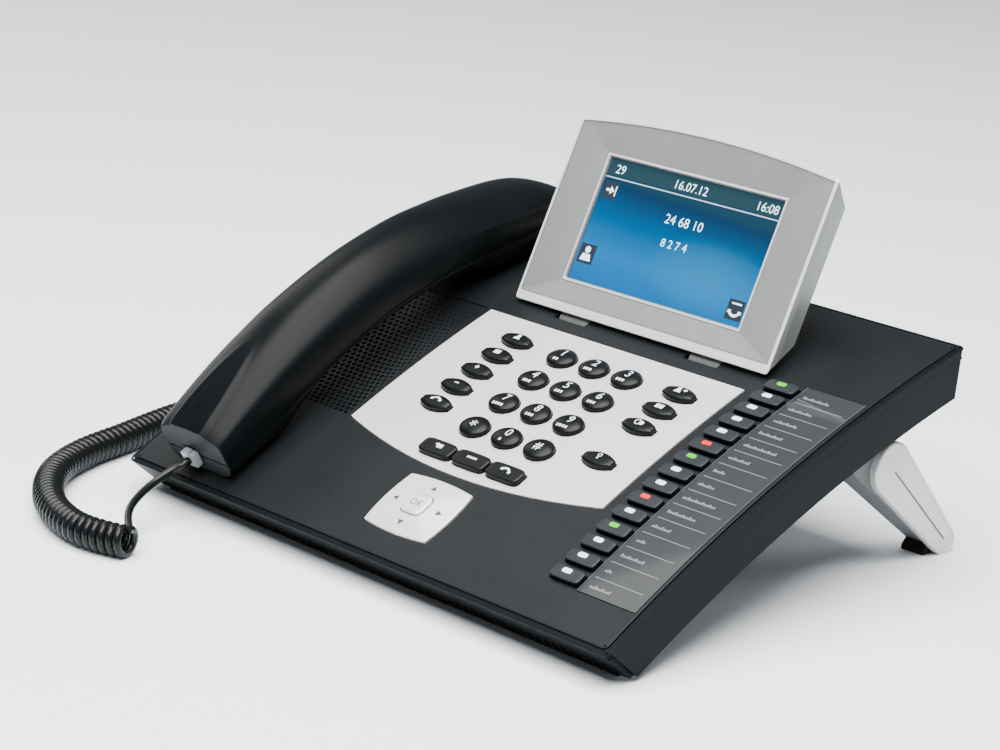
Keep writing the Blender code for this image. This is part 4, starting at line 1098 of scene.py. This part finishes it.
SIGN_SCALE, SIGN_RISE, PRINT_LIFT = 1.25, 0.8, 0.05
SIGNS = {
    "left_key_1": [disc(0.3, 0.9, 0.7), [(-1.2, -1.1), (1.6, -1.1), (0.9, 0.5), (-0.3, 0.5)]],
    "left_key_2": [bar(0.0, 0.0, 2.6, 1.9)],
    "left_key_3": [bar(0.0, 0.0, 1.7, 0.45), bar(0.0, 0.0, 0.45, 1.7)],
    "left_key_4": [bar(0.0, 0.0, 1.7, 0.45)],
    "left_key_5": handset_sign(),
    "right_key_1": [disc(-0.6, 0.9, 0.7), [(-2.0, -1.1), (0.8, -1.1), (0.1, 0.5), (-1.3, 0.5)],
                    bar(1.9, 0.6, 1.6, 0.4), bar(1.9, 0.6, 0.4, 1.4)],
    "right_key_2": [bar(-0.85, 0.0, 1.4, 1.9), bar(0.85, 0.0, 1.4, 1.9)],
    "right_key_3": [arc_mark(1.1, 0.35, 0, 350, (-0.6, 0.1), 14), disc(0.9, 0.0, 0.95)],
    "right_key_4": [arc_mark(0.7, 0.3, 0, 350, (0.0, 0.6), 12), bar(0.0, -0.6, 0.5, 1.2)],
    "call_key_1": [[(-1.8, 0.4), (-0.6, 1.1), (-0.6, 0.8), (1.7, 0.8), (1.7, -0.9), (-0.6, -0.9),
                    (-0.6, -0.3)]],
    "call_key_2": [bar(x, 0.0, 0.75, 0.8) for x in (-1.7, -0.6, 0.5, 1.6)],
    "call_key_3": handset_sign(math.radians(-12)),
}


def print_sign(name, height_at, whole, shape):
    """A side or call key's sign, a little behind the middle of its face."""
    for outline in SIGNS[name]:
        sign = [(x * SIGN_SCALE, y * SIGN_SCALE + SIGN_RISE) for x, y in outline]
        raised([sign], height_at, PRINT_LIFT, whole, shape, 1, grid=0.7)


def digit_keys():
    """Twelve domed keys, each with its digit and the small letters in front of it."""
    letters = {"2": 3, "3": 3, "4": 3, "5": 3, "6": 3, "7": 4, "8": 3, "9": 4, "0": 1, "1": 2}
    digits = ("1", "2", "3", "4", "5", "6", "7", "8", "9", "star", "0", "hash")
    for index, digit in enumerate(digits):
        row, column = divmod(index, 3)
        whole = deck_frame(DIGIT_X + column * DIGIT_PITCH_X, DIGIT_S - row * DIGIT_PITCH_S)
        height_at = dome(DIGIT_KEY, 1.5, 2.6)
        cap = key_cap(DIGIT_KEY, height_at, whole)
        sign = {"star": "*", "hash": "#"}.get(digit, digit)
        place = (0.5, 1.5) if digit in letters else (0.0, 0.2 if digit == "hash" else -1.4)
        lettering(sign, 8.0 if digit == "star" else 6.0, place, height_at, PRINT_LIFT, whole, cap, 1)
        for step in range(letters.get(digit, 0)):
            across = (step - (letters[digit] - 1) / 2) * 1.5 - 0.5
            raised([bar(across, -2.9, 1.0, 1.3)], height_at, PRINT_LIFT, whole, cap, 1)
        cap.build(f"digit_cap_{digit}", f"digit_key_{digit}_body", "key_plastic", [KEY_BLACK, KEY_WHITE],
                  40.0, (f"digit_key_{digit}",))


def side_and_call_keys():
    """Barrel keys on either side of the digits, and the three flat keys in front of them."""
    places = [(f"left_key_{row + 1}", LEFT_KEY_X, LEFT_KEY_S - row * SIDE_PITCH_S, SIDE_KEY)
              for row in range(5)]
    places += [(f"right_key_{row + 1}", RIGHT_KEY_X, RIGHT_KEY_S - row * SIDE_PITCH_S, SIDE_KEY)
               for row in range(3)]
    places += [("right_key_4", RIGHT_KEY_X, LOW_RIGHT_KEY_S, SIDE_KEY)]
    places += [(f"call_key_{column + 1}", CALL_KEY_X + column * CALL_PITCH_X, CALL_KEY_S, CALL_KEY)
               for column in range(3)]
    for name, x, s, shape in places:
        whole = deck_frame(x, s)
        height_at = dome(shape, 1.1, 5.0) if shape is SIDE_KEY else dome(shape, 0.6, 12.0, 0.25)
        cap = key_cap(shape, height_at, whole)
        print_sign(name, height_at, whole, cap)
        cap.build(name + "_cap", name + "_body", "key_plastic", [KEY_BLACK, KEY_WHITE], 40.0, (name,))


def line_keys():
    """Fifteen flat keys with a lit window each; the walls are black and the faces grey."""
    lamps = {"G": LAMP_GREEN, "R": LAMP_RED, "W": LAMP_WHITE}
    for row, lamp in enumerate(LINE_LAMPS):
        name = f"line_key_{row + 1}"
        whole = deck_frame(LINE_KEY_X, LINE_KEY_S - row * LINE_PITCH)
        height_at = dome(LINE_KEY, 0.35, 16.0)
        cap = key_cap(LINE_KEY, height_at, whole)
        for index, mark in enumerate(cap.marks):
            cap.marks[index] = 1 if index < KEY_SIDES * 2 else 0
        window = [(-0.6 + math.copysign(abs(math.cos(turn)) ** 0.5, math.cos(turn)) * 2.2,
                   1.0 + math.copysign(abs(math.sin(turn)) ** 0.5, math.sin(turn)) * 1.15)
                  for turn in (2 * math.pi * (step + 0.5) / 16 for step in range(16))]
        raised([window], height_at, 0.12, whole, cap, 2, grid=9.0)
        cap.build(name + "_cap", name + "_body", "key_plastic", [LINE_KEY_GREY, KEY_BLACK, lamps[lamp]], 40.0,
                  (name,))


digit_keys()
side_and_call_keys()
line_keys()


def navigation_pad():
    """Silver four-way pad, a shallow pyramid with a printed arrow on each face, and the OK key."""
    width, length = NAV_PAD[0] / 2, NAV_PAD[1] / 2
    middle = (OK_KEY[0] / 2 + 1.5, OK_KEY[1] / 2 + 1.5)
    per_side = 12

    def ring(inset, level):
        half, along = width - inset - NAV_BOW, length - inset - NAV_BOW
        corners = [(-half, -along), (half, -along), (half, along), (-half, along)]
        points = []
        for start, end in zip(corners, corners[1:] + corners[:1]):
            out = Vector((end[1] - start[1], start[0] - end[0])).normalized()
            for step in range(per_side):
                t = step / per_side
                x, y = Vector(start).lerp(end, t) + out * NAV_BOW * (1 - (2 * t - 1) ** 2)
                points.append((x, y, level))
        return points

    def oval(grow, level):
        shape = (OK_KEY[0] + grow, OK_KEY[1] + grow, OK_KEY[2], 0)
        points = []
        for side, (cx, cy) in enumerate(((-1, -1), (1, -1), (1, 1), (-1, 1))):
            for step in range(per_side):
                turn = math.radians(-135 + 90 * side + 90 * step / per_side)
                x, y = math.cos(turn), math.sin(turn)
                reach = face_place(shape, x, y)
                points.append((x / reach, y / reach, level))
        return points

    whole = deck_frame(NAV_X, NAV_S)
    top = NAV_PAD[2]
    rings = [ring(0.0, KEY_FOOT), ring(0.0, 0.35), ring(0.15, 0.6), ring(0.5, 0.75),
             oval(3.0, top - 0.12), oval(1.3, top), oval(0.7, top - 0.25), oval(0.7, KEY_FOOT)]
    pad = Shape().rings([*rings, rings[0]], ends=(False, False), matrix=whole)

    def slope(x, y):
        out = max((abs(x) - middle[0]) / (width - 0.5 - middle[0]),
                  (abs(y) - middle[1]) / (length - 0.5 - middle[1]))
        return top - 0.12 - (top - 0.12 - 0.75) * max(0.0, out)

    arrow = ((-1.3, -1.1), (1.3, -1.1), (0.0, 1.4))
    for turn, reach in ((0, 10.2), (90, 12.0), (180, 10.2), (270, 12.0)):
        cos, sin = math.cos(math.radians(turn)), math.sin(math.radians(turn))
        outline = [(x * cos - (y + reach) * sin, x * sin + (y + reach) * cos) for x, y in arrow]
        raised([outline], slope, 0.12, whole, pad, 1, sink=0.4, grid=0.7)
    pad.build("navigation_pad", "nav_pad_body", "nav_silver", [NAV_SILVER, ARROW_BLUE], 12.0, ("nav_pad",),
              merge=2e-6)

    height_at = dome(OK_KEY, 0.5, 6.0)
    cap = key_cap(OK_KEY, height_at, whole)
    lettering("OK", 4.3, (0.0, 0.0), height_at, 0.05, whole, cap, 1)
    cap.build("ok_cap", "ok_key_body", "nav_silver", [NAV_SILVER, ARROW_BLUE], 40.0, ("ok_key",))


navigation_pad()

# ---- grille --------------------------------------------------------------------------
HOLE_PITCH, HOLE_RADIUS = 3.1, 1.15


def perforated_grille():
    """Dished plate of staggered holes that narrow to fine dots, over the loudspeaker's cloth."""
    hexagon = [(HOLE_PITCH / math.sqrt(3) * math.cos(turn), HOLE_PITCH / math.sqrt(3) * math.sin(turn))
               for turn in (math.radians(30 + 60 * step) for step in range(6))]
    outer = []
    for start, end in zip(hexagon, hexagon[1:] + hexagon[:1]):
        outer += [(*start, 0.0), ((start[0] + end[0]) / 2, (start[1] + end[1]) / 2, 0.0)]
    holes = [[(radius * math.cos(turn), radius * math.sin(turn), level)
              for turn in (math.radians(30 + 30 * step) for step in range(12))]
             for radius, level in ((HOLE_RADIUS, 0.0), (HOLE_RADIUS * 0.94, -0.12),
                                   (HOLE_RADIUS * 0.92, -1.0))]
    tile = Shape().rings([outer, *holes], ends=(False, False))
    rim = [0.0] * 12 + [1.0] * 36
    seed = hidden_seed("tile", tile.points, tile.faces, rim)
    grown = perforated_growth().run(**{
        "Tile": seed, "Columns": 22, "Rows": 36, "Pitch": HOLE_PITCH, "Fade Across": 0.012,
        "Fade Along": 0.0155, "Least Hole": 0.24, "Finish": DECK_BLACK})
    drop_seed(seed)
    work = bmesh.new()
    work.from_mesh(grown)
    bmesh.ops.remove_doubles(work, verts=work.verts, dist=0.01)
    middle = ((GRILLE_X[0] + GRILLE_X[1]) / 2, (GRILLE_S[0] + GRILLE_S[1]) / 2)
    bmesh.ops.translate(work, vec=(*middle, 0.0), verts=work.verts)
    edges = [((GRILLE_X[0] + GAP, 0), (-1, 0)), ((GRILLE_X[1] - GAP, 0), (1, 0)),
             ((0, GRILLE_S[0] + GAP), (0, -1)), ((0, GRILLE_S[1] - GAP), (0, 1))]
    for (x, y), (nx, ny) in edges:
        bmesh.ops.bisect_plane(work, geom=work.verts[:] + work.edges[:] + work.faces[:], plane_co=(x, y, 0),
                               plane_no=(nx, ny, 0), clear_outer=True)
    half = ((GRILLE_X[1] - GRILLE_X[0]) / 2, (GRILLE_S[1] - GRILLE_S[0]) / 2)
    for vert in work.verts:
        u, v = (vert.co.x - middle[0]) / half[0], (vert.co.y - middle[1]) / half[1]
        sag = GRILLE_DISH * (1 - min(1, abs(u)) ** 3) * (1 - min(1, abs(v)) ** 3)
        vert.co = deck_point(vert.co.x, vert.co.y, vert.co.z - 0.35 - sag)
    bmesh.ops.recalc_face_normals(work, faces=work.faces)
    up = DECK.to_3x3() @ Vector((0, 0, 1))
    if sum(face.normal.dot(up) * face.calc_area() for face in work.faces) < 0:
        bmesh.ops.reverse_faces(work, faces=work.faces)
    data = bpy.data.meshes.new("perforated_grille")
    work.to_mesh(data)
    work.free()
    data.materials.clear()
    data.materials.append(DECK_BLACK)
    finish_piece("perforated_grille", data, "base", "deck_plastic", 40.0, ("speaker_grille",), outward=False)

    cloth = Shape()
    rows = []
    for level in (-5.1, -5.5):
        rows.append([deck_point(x, s, level) for x, s in (
            *[(GRILLE_X[0] + 0.5 + 56.0 * step / 12, GRILLE_S[0] + 0.5) for step in range(12)],
            *[(GRILLE_X[1] - 0.5, GRILLE_S[0] + 0.5 + 84.0 * step / 16) for step in range(16)],
            *[(GRILLE_X[1] - 0.5 - 56.0 * step / 12, GRILLE_S[1] - 0.5) for step in range(12)],
            *[(GRILLE_X[0] + 0.5, GRILLE_S[1] - 0.5 - 84.0 * step / 16) for step in range(16)])])
    cloth.rings(rows)
    cloth.build("speaker_cloth", "base", "deck_plastic", [SHADOW_GROOVE_BLACK], 30.0)


perforated_grille()

# ---- label strip ---------------------------------------------------------------------


def slab(x, s, h, strips):
    """Arched slab between deck places, in strips along s."""
    rings = []
    for step in range(strips + 1):
        at = s[0] + (s[1] - s[0]) * step / strips
        rings.append([deck_point(x[0], at, h[0]), deck_point(x[1], at, h[0]), deck_point(x[1], at, h[1]),
                      deck_point(x[0], at, h[1])])
    return rings


LABEL_WORDS = (11, 10, 10, 10, 14, 9, 5, 7, 14, 12, 8, 4, 10, 3, 9)   # marks in each line of the label


def label_strip():
    shape = Shape().rings(slab(LABEL_X, LABEL_S, (-1.0, 0.12), 24))
    shape.build("label_window", "base", "clear_cover", [LABEL_GLOSS], 30.0, ("label_cover",))
    print_lines = Shape()
    left, right = LABEL_X
    for row in range(15):
        s = LINE_KEY_S - row * LINE_PITCH
        if row < 14:
            print_lines.rings(slab((left + 1.6, right - 3.0), (s - 4.65, s - 4.35), (0.08, 0.15), 1))
        for step in range(LABEL_WORDS[row]):
            at, tall = left + 3.0 + step * 1.15, 0.5 + 0.28 * ((row * 7 + step * 5) % 3 == 0)
            print_lines.rings(slab((at, at + 0.8), (s - 0.9, s - 0.9 + 2 * tall), (0.08, 0.15), 1))
    print_lines.build("label_print", "base", "clear_cover", [PRINT_GREY], 30.0)
    rim = Shape()
    for x0, x1 in ((left - 0.35, left + 0.05), (right - 0.05, right + 0.35)):
        rim.rings(slab((x0, x1), LABEL_S, (-0.6, 0.20), 24))
    rim.build("label_window_edge", "base", "clear_cover", [LABEL_EDGE], 30.0)


label_strip()

# ---- display -------------------------------------------------------------------------
DISPLAY_HALF, DISPLAY_LOW, DISPLAY_HIGH, DISPLAY_CROWN = 69.5, 2.0, 84.1, 4.6
DISPLAY_FRONT, DISPLAY_SPLIT, DISPLAY_REAR = 6.95, 3.45, -4.35
SCREEN_LOW_X, SCREEN_HIGH_X, SCREEN_LOW, SCREEN_HIGH = -48.6, 46.4, 16.7, 70.7
SCREEN_Z = 3.1


def frame_ring(x, y, crown, radius, level, per_side=16, per_corner=5):
    """Rounded rectangle with an arched upper edge, as one ring of the display's frame."""
    middle, half = (x[0] + x[1]) / 2, (x[1] - x[0]) / 2
    corners = ((x[0] + radius, y[0] + radius, 180), (x[1] - radius, y[0] + radius, 270),
               (x[1] - radius, y[1] - radius, 0), (x[0] + radius, y[1] - radius, 90))
    points = []
    for index, (cx, cy, start) in enumerate(corners):
        for step in range(per_corner):
            turn = math.radians(start + 90 * step / (per_corner - 1))
            points.append((cx + radius * math.cos(turn), cy + radius * math.sin(turn)))
        after = corners[(index + 1) % 4]
        turn = math.radians(after[2])
        goal = (after[0] + radius * math.cos(turn), after[1] + radius * math.sin(turn))
        last = points[-1]
        points += [(last[0] + (goal[0] - last[0]) * share, last[1] + (goal[1] - last[1]) * share)
                   for share in (step / per_side for step in range(1, per_side))]
    bent = []
    for px, py in points:
        share = (px - middle) / half
        rise = (py - y[0]) / (y[1] - y[0])
        bent.append((px, py + crown * (1 - share * share) * rise * rise, level))
    return bent


def display_edges(level):
    """Lower and upper edge of the casing at a depth behind the front."""
    share = (DISPLAY_FRONT - level) / (DISPLAY_FRONT - DISPLAY_REAR)
    return DISPLAY_LOW + 14.5 * share, DISPLAY_HIGH - 7.8 * share


def display_front():
    """Silver frame: raised rim, slanting faces and a bright line round the window."""
    half, (low, high) = DISPLAY_HALF, (DISPLAY_LOW, DISPLAY_HIGH)
    back = display_edges(DISPLAY_SPLIT)
    near = display_edges(DISPLAY_FRONT - 0.7)
    window = (SCREEN_LOW_X, SCREEN_HIGH_X), (SCREEN_LOW, SCREEN_HIGH)

    def about_window(grow, level, radius=0.5):
        (x0, x1), (y0, y1) = window
        return frame_ring((x0 - grow, x1 + grow), (y0 - grow, y1 + grow), 0.0, radius, level)

    def about_casing(inset, sill, radius, level):
        return frame_ring((-half + inset, half - inset), (low + sill, high - inset), DISPLAY_CROWN, radius,
                          level)

    rings = [frame_ring((-half, half), back, DISPLAY_CROWN, 1.6, DISPLAY_SPLIT),
             frame_ring((-half, half), near, DISPLAY_CROWN, 1.6, DISPLAY_FRONT - 0.7),
             about_casing(0.1, 0.1, 1.5, DISPLAY_FRONT - 0.25), about_casing(0.4, 0.4, 1.3, DISPLAY_FRONT),
             about_casing(1.5, 3.9, 0.7, DISPLAY_FRONT), about_casing(1.7, 4.1, 0.6, DISPLAY_FRONT - 0.55),
             about_casing(2.1, 4.5, 0.5, DISPLAY_FRONT - 0.5),
             about_window(1.5, DISPLAY_FRONT - 2.25), about_window(1.2, DISPLAY_FRONT - 1.95),
             about_window(0.5, DISPLAY_FRONT - 1.95), about_window(0.0, DISPLAY_FRONT - 2.35, 0.3),
             about_window(0.0, SCREEN_Z + 0.2, 0.3)]
    shape = Shape()
    shape.rings([*rings, rings[0]], ends=(False, False), matrix=DISPLAY_MM)
    count = len(rings[0])
    for index in range(len(shape.marks)):
        shape.marks[index] = 1 if index // count in (2, 3, 8) else 0
    shape.build("display_frame", "display", "display_silver", [DISPLAY_SILVER, LINE_SILVER], 14.0,
                ("display_bezel",), merge=2e-6)


display_front()


def screen_marks():
    """Figures and signs that the display shows."""
    marks = Shape()

    def level(_x, _y):
        return SCREEN_Z

    for text, size, place in (("29", 5.4, (-42.0, 66.2)), ("16.07.12", 5.4, (-3.0, 66.2)),
                              ("16:08", 5.4, (38.0, 66.2)), ("24 68 10", 5.8, (0.0, 51.5)),
                              ("8 2 7 4", 5.0, (-1.0, 41.5))):
        lettering(text, size, place, level, 0.04, DISPLAY_MM, marks, 0, grid=30.0)
    line = [(SCREEN_LOW_X, 62.2), (SCREEN_HIGH_X, 62.2), (SCREEN_HIGH_X, 62.7), (SCREEN_LOW_X, 62.7)]
    raised([line], level, 0.03, DISPLAY_MM, marks, 2, grid=30.0)
    for x, y, size in ((-43.6, 57.0, 7.4), (-43.6, 28.6, 8.4), (40.4, 23.4, 8.4)):
        raised([bar(x, y, size, size)], level, 0.03, DISPLAY_MM, marks, 1, grid=30.0)
    signs = [bar(-44.6, 57.0, 2.6, 1.1), [(-43.6, 55.2), (-41.4, 57.0), (-43.6, 58.8)],
             bar(-40.7, 57.0, 0.6, 4.4),
             disc(-43.6, 30.4, 1.5), [(-46.6, 25.6), (-40.6, 25.6), (-41.6, 28.6), (-45.6, 28.6)],
             bar(40.4, 26.0, 5.0, 0.7),
             *[[(40.4 + x * 1.5, 22.2 + y * 1.5) for x, y in mark] for mark in handset_sign(math.pi)]]
    for outline in signs:
        raised([outline], level, 0.07, DISPLAY_MM, marks, 0, grid=30.0)
    marks.build("screen_marks", "display", "screen", [SCREEN_WHITE, SCREEN_DARK, SCREEN_LIGHT], 30.0)


screen_marks()
repaint("lcd_panel", SCREEN_PICTURE)
repaint("display_back", DISPLAY_SILVER)


def display_rear():
    """Screws and cooling slots in the back of the display."""
    shape = Shape()
    seed = disc_seed("screw", [(1.9, 0.0), (1.9, 0.5), (1.6, 0.75), (0.9, 0.75), (0.8, 0.3), (0.2, 0.3)], 18)
    grown = row_of(seed, 2, 2, 118.0, 48.0, SCREW_STEEL)
    shape.mesh(grown, 0, DISPLAY_MM @ Matrix.Translation((0.0, 46.6, DISPLAY_REAR + 0.02))
               @ Matrix.Rotation(math.pi, 4, "X"))
    shape.build("display_screws", "display", "display_silver", [SCREW_STEEL], 30.0)
    slots = Shape()
    seed = box_seed("slot", (-8.0, 8.0), (-0.6, 0.6), (-0.05, 0.12), 0.1)
    grown = row_of(seed, 3, 7, 22.0, 3.2, SHADOW_GROOVE_BLACK)
    slots.mesh(grown, 0, DISPLAY_MM @ Matrix.Translation((0.0, 58.0, DISPLAY_REAR))
               @ Matrix.Rotation(math.pi, 4, "X"))
    slots.build("display_slots", "display", "display_silver", [SHADOW_GROOVE_BLACK], 30.0)


display_rear()

# ---- stand ---------------------------------------------------------------------------
TOE = Vector((32.7, -61.8))    # toe's centre from the pivot, in the deck's frame
PIVOT_RADIUS, TOE_RADIUS, LEG_X, CAP_THICKNESS = 9.6, 5.4, (109.5, 126.0), 3.2


CAP_TOP, CAP_RADIUS, CAP_TOE_RADIUS = Vector((10.5, -11.0)), 11.0, 6.2


def teardrop(inset, high=Vector((0.0, 0.0)), top=PIVOT_RADIUS, toe=TOE_RADIUS, steps=22):
    """Outline round an upper circle and the toe, joined by their common tangents."""
    top, toe = top - inset, toe - inset
    heading = math.atan2(*(TOE - high).yx)
    lean = math.acos((top - toe) / (TOE - high).length)
    points = []
    for centre, radius, start, sweep in ((high, top, heading + lean, 2 * math.pi - 2 * lean),
                                         (TOE, toe, heading - lean, 2 * lean)):
        for step in range(steps + 1):
            turn = start + sweep * step / steps
            points.append((centre.x + radius * math.cos(turn), centre.y + radius * math.sin(turn)))
    return points


TABLE_TO_PIVOT = PIVOT_MM.inverted()


def above_table(x, y, z):
    """A point of the stand, lifted to the table where the toe is cut flat."""
    point = PIVOT_MM @ Vector((x, y, z))
    point.z = max(point.z, 0.00002)
    return TABLE_TO_PIVOT @ point


def stand():
    """Two tapered legs with silver caps, joined by a bar and a web, on rubber pads."""
    shape = Shape()
    for side in (-1, 1):
        outer, inner = side * LEG_X[1], side * LEG_X[0]
        seam = outer - side * CAP_THICKNESS
        caps = [(0.0, seam), (0.0, outer - side * 0.7), (0.25, outer - side * 0.25), (0.7, outer),
                (1.5, outer), (1.7, outer - side * 0.3), (2.0, outer - side * 0.25)]
        rings = [[above_table(x, y, z) for y, z in teardrop(inset, CAP_TOP, CAP_RADIUS, CAP_TOE_RADIUS)]
                 for inset, x in caps]
        shape.rings(rings, 0, PIVOT_MM)
        body = [(0.9, seam + side * 0.1), (0.9, inner + side * 0.8), (1.7, inner)]
        rings = [[above_table(x, y, z) for y, z in teardrop(inset)] for inset, x in body]
        shape.rings(rings, 1, PIVOT_MM)
        heading = (TOE - CAP_TOP).normalized()
        across = Vector((-heading.y, heading.x))
        start, end = CAP_TOP + heading * 2.0, TOE - heading * 2.0
        face, width = outer - side * 0.25, 0.40
        corners = [start - across * width, end - across * width, end + across * width, start + across * width]
        shape.rings([[(x, *corner) for corner in corners] for x in (face, face + side * 0.12)], 1, PIVOT_MM)
    ring = [(4.0 * math.cos(turn), 4.0 * math.sin(turn))
            for turn in (2 * math.pi * step / 32 for step in range(32))]
    ends = (-LEG_X[0] - 1, LEG_X[0] + 1)
    shape.rings([[(x, y, z) for y, z in ring] for x in ends], 1, PIVOT_MM)
    web = PIVOT_MM @ Matrix.Rotation(math.atan2(TOE.y, TOE.x), 4, "X")
    web_rings = [[(x, y0, -1.6 + cut), (x, y1 - cut, -1.6 + cut), (x, y1 - cut, 1.6 - cut),
                  (x, y0, 1.6 - cut)]
                 for x, y0, y1, cut in ((-84.0, 0.0, 20.0, 0.5), (-83.4, 0.0, 20.0, 0.0),
                                        (83.4, 0.0, 20.0, 0.0), (84.0, 0.0, 20.0, 0.5))]
    shape.rings(web_rings, 1, web)
    shape.build("stand_legs", "stand_body", "stand_plastic", [STAND_SILVER, STAND_GREY, SHADOW_GROOVE_BLACK], 35.0,
                ("stand",))
    pads = Shape()
    for side in (-1, 1):
        x0, x1 = sorted((side * (LEG_X[0] + 1.2), side * (LEG_X[1] - CAP_THICKNESS - 1.0)))
        toe_y = (PIVOT_MM @ Vector((0, *TOE))).y / MM
        y0, y1 = toe_y - 9.5, toe_y + 0.5
        rings = [[(x, y, z) for y, z in ((y0 + cut, 0.02), (y1, 0.02), (y1, 4.6), (y0 + 3.5 + cut, 5.4),
                                         (y0 + cut, 1.8))]
                 for x, cut in ((x0, 0.4), (x0 + 0.5, 0.0), (x1 - 0.5, 0.0), (x1, 0.4))]
        pads.rings(rings, 0, Matrix.Scale(MM, 4))
    pads.build("stand_pads", "stand_body", "rubber", [RUBBER], 30.0)


stand()

# ---- casing --------------------------------------------------------------------------
repaint("deck_lid", DECK_BLACK)
repaint("body_tub", BODY_BLACK)
repaint("main_board", BOARD_GREEN)
repaint("front_foot", RUBBER)
repaint("keypad_plate", PLATE_SILVER)
repaint("hook_switch", KEY_BLACK)


def rim_path(grow, h, corner, lean):
    """Closed line round the deck at a distance outside the casing's edge."""
    half = BODY_WIDTH / 2 + grow
    s0, s1 = -grow - lean * h, DECK_ARC + grow + lean * h
    points = []
    for cx, cs, start in ((-half + corner, s0 + corner, 180), (half - corner, s0 + corner, 270),
                          (half - corner, s1 - corner, 0), (-half + corner, s1 - corner, 90)):
        arc = [(cx + corner * math.cos(turn), cs + corner * math.sin(turn))
               for turn in (math.radians(start + 90 * step / 4) for step in range(5))]
        if points:
            points += between(points[-1], arc[0])
        points += arc
    points += between(points[-1], points[0])
    return [deck_point(x, s, h) for x, s in points]


def between(start, end, step=8.0):
    count = max(1, int(math.hypot(end[0] - start[0], end[1] - start[1]) / step))
    return [(start[0] + (end[0] - start[0]) * index / count, start[1] + (end[1] - start[1]) * index / count)
            for index in range(1, count)]


def bead(path, radius, sides=8):
    """Closed round bead along a closed line."""
    count = len(path)
    rings, up = [], DECK.to_3x3() @ Vector((0, 0, 1))
    for index, point in enumerate(path):
        ahead = (path[(index + 1) % count] - path[index - 1]).normalized()
        side = ahead.cross(up).normalized()
        level = side.cross(ahead)
        rings.append([point + (side * math.cos(turn) + level * math.sin(turn)) * radius * MM
                      for turn in (2 * math.pi * step / sides for step in range(sides))])
    return [*rings, rings[0]]


def casing_edges():
    """Rounded edges of the top plate and of the side band, and a near-black bead lower on the side band as painted
    shade in its groove.
    """
    lid = Shape().rings(bead(rim_path(-WALL - GAP - 0.30, -0.32, 1.5, END_LEAN), 0.42), ends=(False, False))
    lid.build("deck_edge", "base", "deck_plastic", [DECK_BLACK], 60.0, merge=1e-6)
    band = Shape().rings(bead(rim_path(-0.36, -RIM_DROP - 0.34, 1.8, END_LEAN), 0.44), ends=(False, False))
    band.rings(bead(rim_path(-WALL + 0.42, -RIM_DROP - 0.22, 1.2, END_LEAN), 0.36), ends=(False, False))
    band.build("band_edge", "base", "body_plastic", [BODY_BLACK], 60.0, merge=1e-6)
    # painted shade: a near-black bead where the side band's groove lies
    groove = Shape().rings(bead(rim_path(-0.20, -4.3, 2.0, END_LEAN), 0.28, 6), ends=(False, False))
    groove.build("band_groove", "base", "body_plastic", [SHADOW_GROOVE_BLACK], 60.0, merge=1e-6)


casing_edges()


def front_ribs():
    """Fine grip ribs along the lower front edge."""
    seed = box_seed("rib", (-0.75, 0.75), (-2.2, 2.2), (-0.6, 0.55), 0.3)
    grown = row_of(seed, 62, 1, 4.2, 1.0, BODY_BLACK)
    lean = math.atan(1 / END_LEAN)
    low = -BODY_HEIGHT + 3.6
    place = deck_frame(0.0, -END_LEAN * low, low) @ Matrix.Rotation(math.pi - lean, 4, "X")
    ribs = Shape().mesh(grown, 0, place)
    ribs.build("front_ribs", "base", "body_plastic", [BODY_BLACK], 30.0)


front_ribs()


def underside():
    """Screws, vents and a blank rating plate under the body."""
    under = -BODY_HEIGHT
    screws, vents, plate = Shape(), Shape(), Shape()
    profile = [(3.0, -0.1), (3.0, 0.15), (2.6, 0.35), (1.3, 0.35), (1.2, 0.1), (0.2, 0.1)]
    seed = disc_seed("screw", profile, 20)
    grown = row_of(seed, 2, 1, BODY_WIDTH - 18.0, 1.0, SCREW_STEEL)
    for s in (30.0, DECK_ARC - 20.0):
        screws.mesh(grown, 0, deck_frame(0.0, s, under) @ Matrix.Rotation(math.pi, 4, "X"))
    screws.build("casing_screws", "base", "body_plastic", [SCREW_STEEL], 30.0)
    for x, s, across, along in ((-70.0, 60.0, 2, 11), (70.0, 60.0, 2, 11), (0.0, 150.0, 3, 7)):
        seed = box_seed("slot", (-11.0, 11.0), (-0.8, 0.8), (-0.05, 0.15), 0.1)
        grown = row_of(seed, across, along, 27.0, 3.6, SHADOW_GROOVE_BLACK)
        vents.mesh(grown, 0, deck_frame(x, s, under + 0.02) @ Matrix.Rotation(math.pi, 4, "X"))
    vents.build("casing_vents", "base", "body_plastic", [SHADOW_GROOVE_BLACK], 30.0)
    corners = ((-22, -12), (22, -12), (22, 12), (-22, 12))
    whole = deck_frame(0.0, 100.0, under) @ Matrix.Rotation(math.pi, 4, "X")
    plate.rings([[(x, y, level) for x, y in corners] for level in (-0.1, 0.16)], 0, whole)
    plate.build("blank_rating_plate", "base", "body_plastic", [PRINT_GREY], 30.0)


underside()


def gold_contacts():
    """Gold contacts of the two network sockets and of the handset's plug."""
    contacts = Shape()
    for x in (-74.0, -54.0):
        seed = box_seed("contact", (-0.3, 0.3), (-5.0, 4.0), (0.0, 0.35), 0.1)
        grown = row_of(seed, 8, 1, 1.05, 1.0, GOLD)
        contacts.mesh(grown, 0, deck_frame(x, DECK_ARC - 17.0, BASE_JACK_H - 4.0))
    contacts.build("network_contacts", "base", "circuit_board", [GOLD], 30.0)
    seed = box_seed("pin", (-0.25, 0.25), (-1.8, 0.6), (-0.15, 0.1), 0.05)
    pins = Shape().mesh(row_of(seed, 4, 1, 1.25, 1.0, GOLD), 0,
                        deck_frame(JACK_X, HANDSET_END_S + 7.5, JACK_H - 3.25))
    pins.build("plug_pins", "handset", "clear_plug", [GOLD], 30.0)


gold_contacts()

# ---- sizes ---------------------------------------------------------------------------
VISUAL_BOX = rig.bounds()
with open("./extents.json", "w") as sizes:
    json.dump({"cad": [list(corner) for corner in CAD_BOX],
               "visual": [list(corner) for corner in VISUAL_BOX]}, sizes)
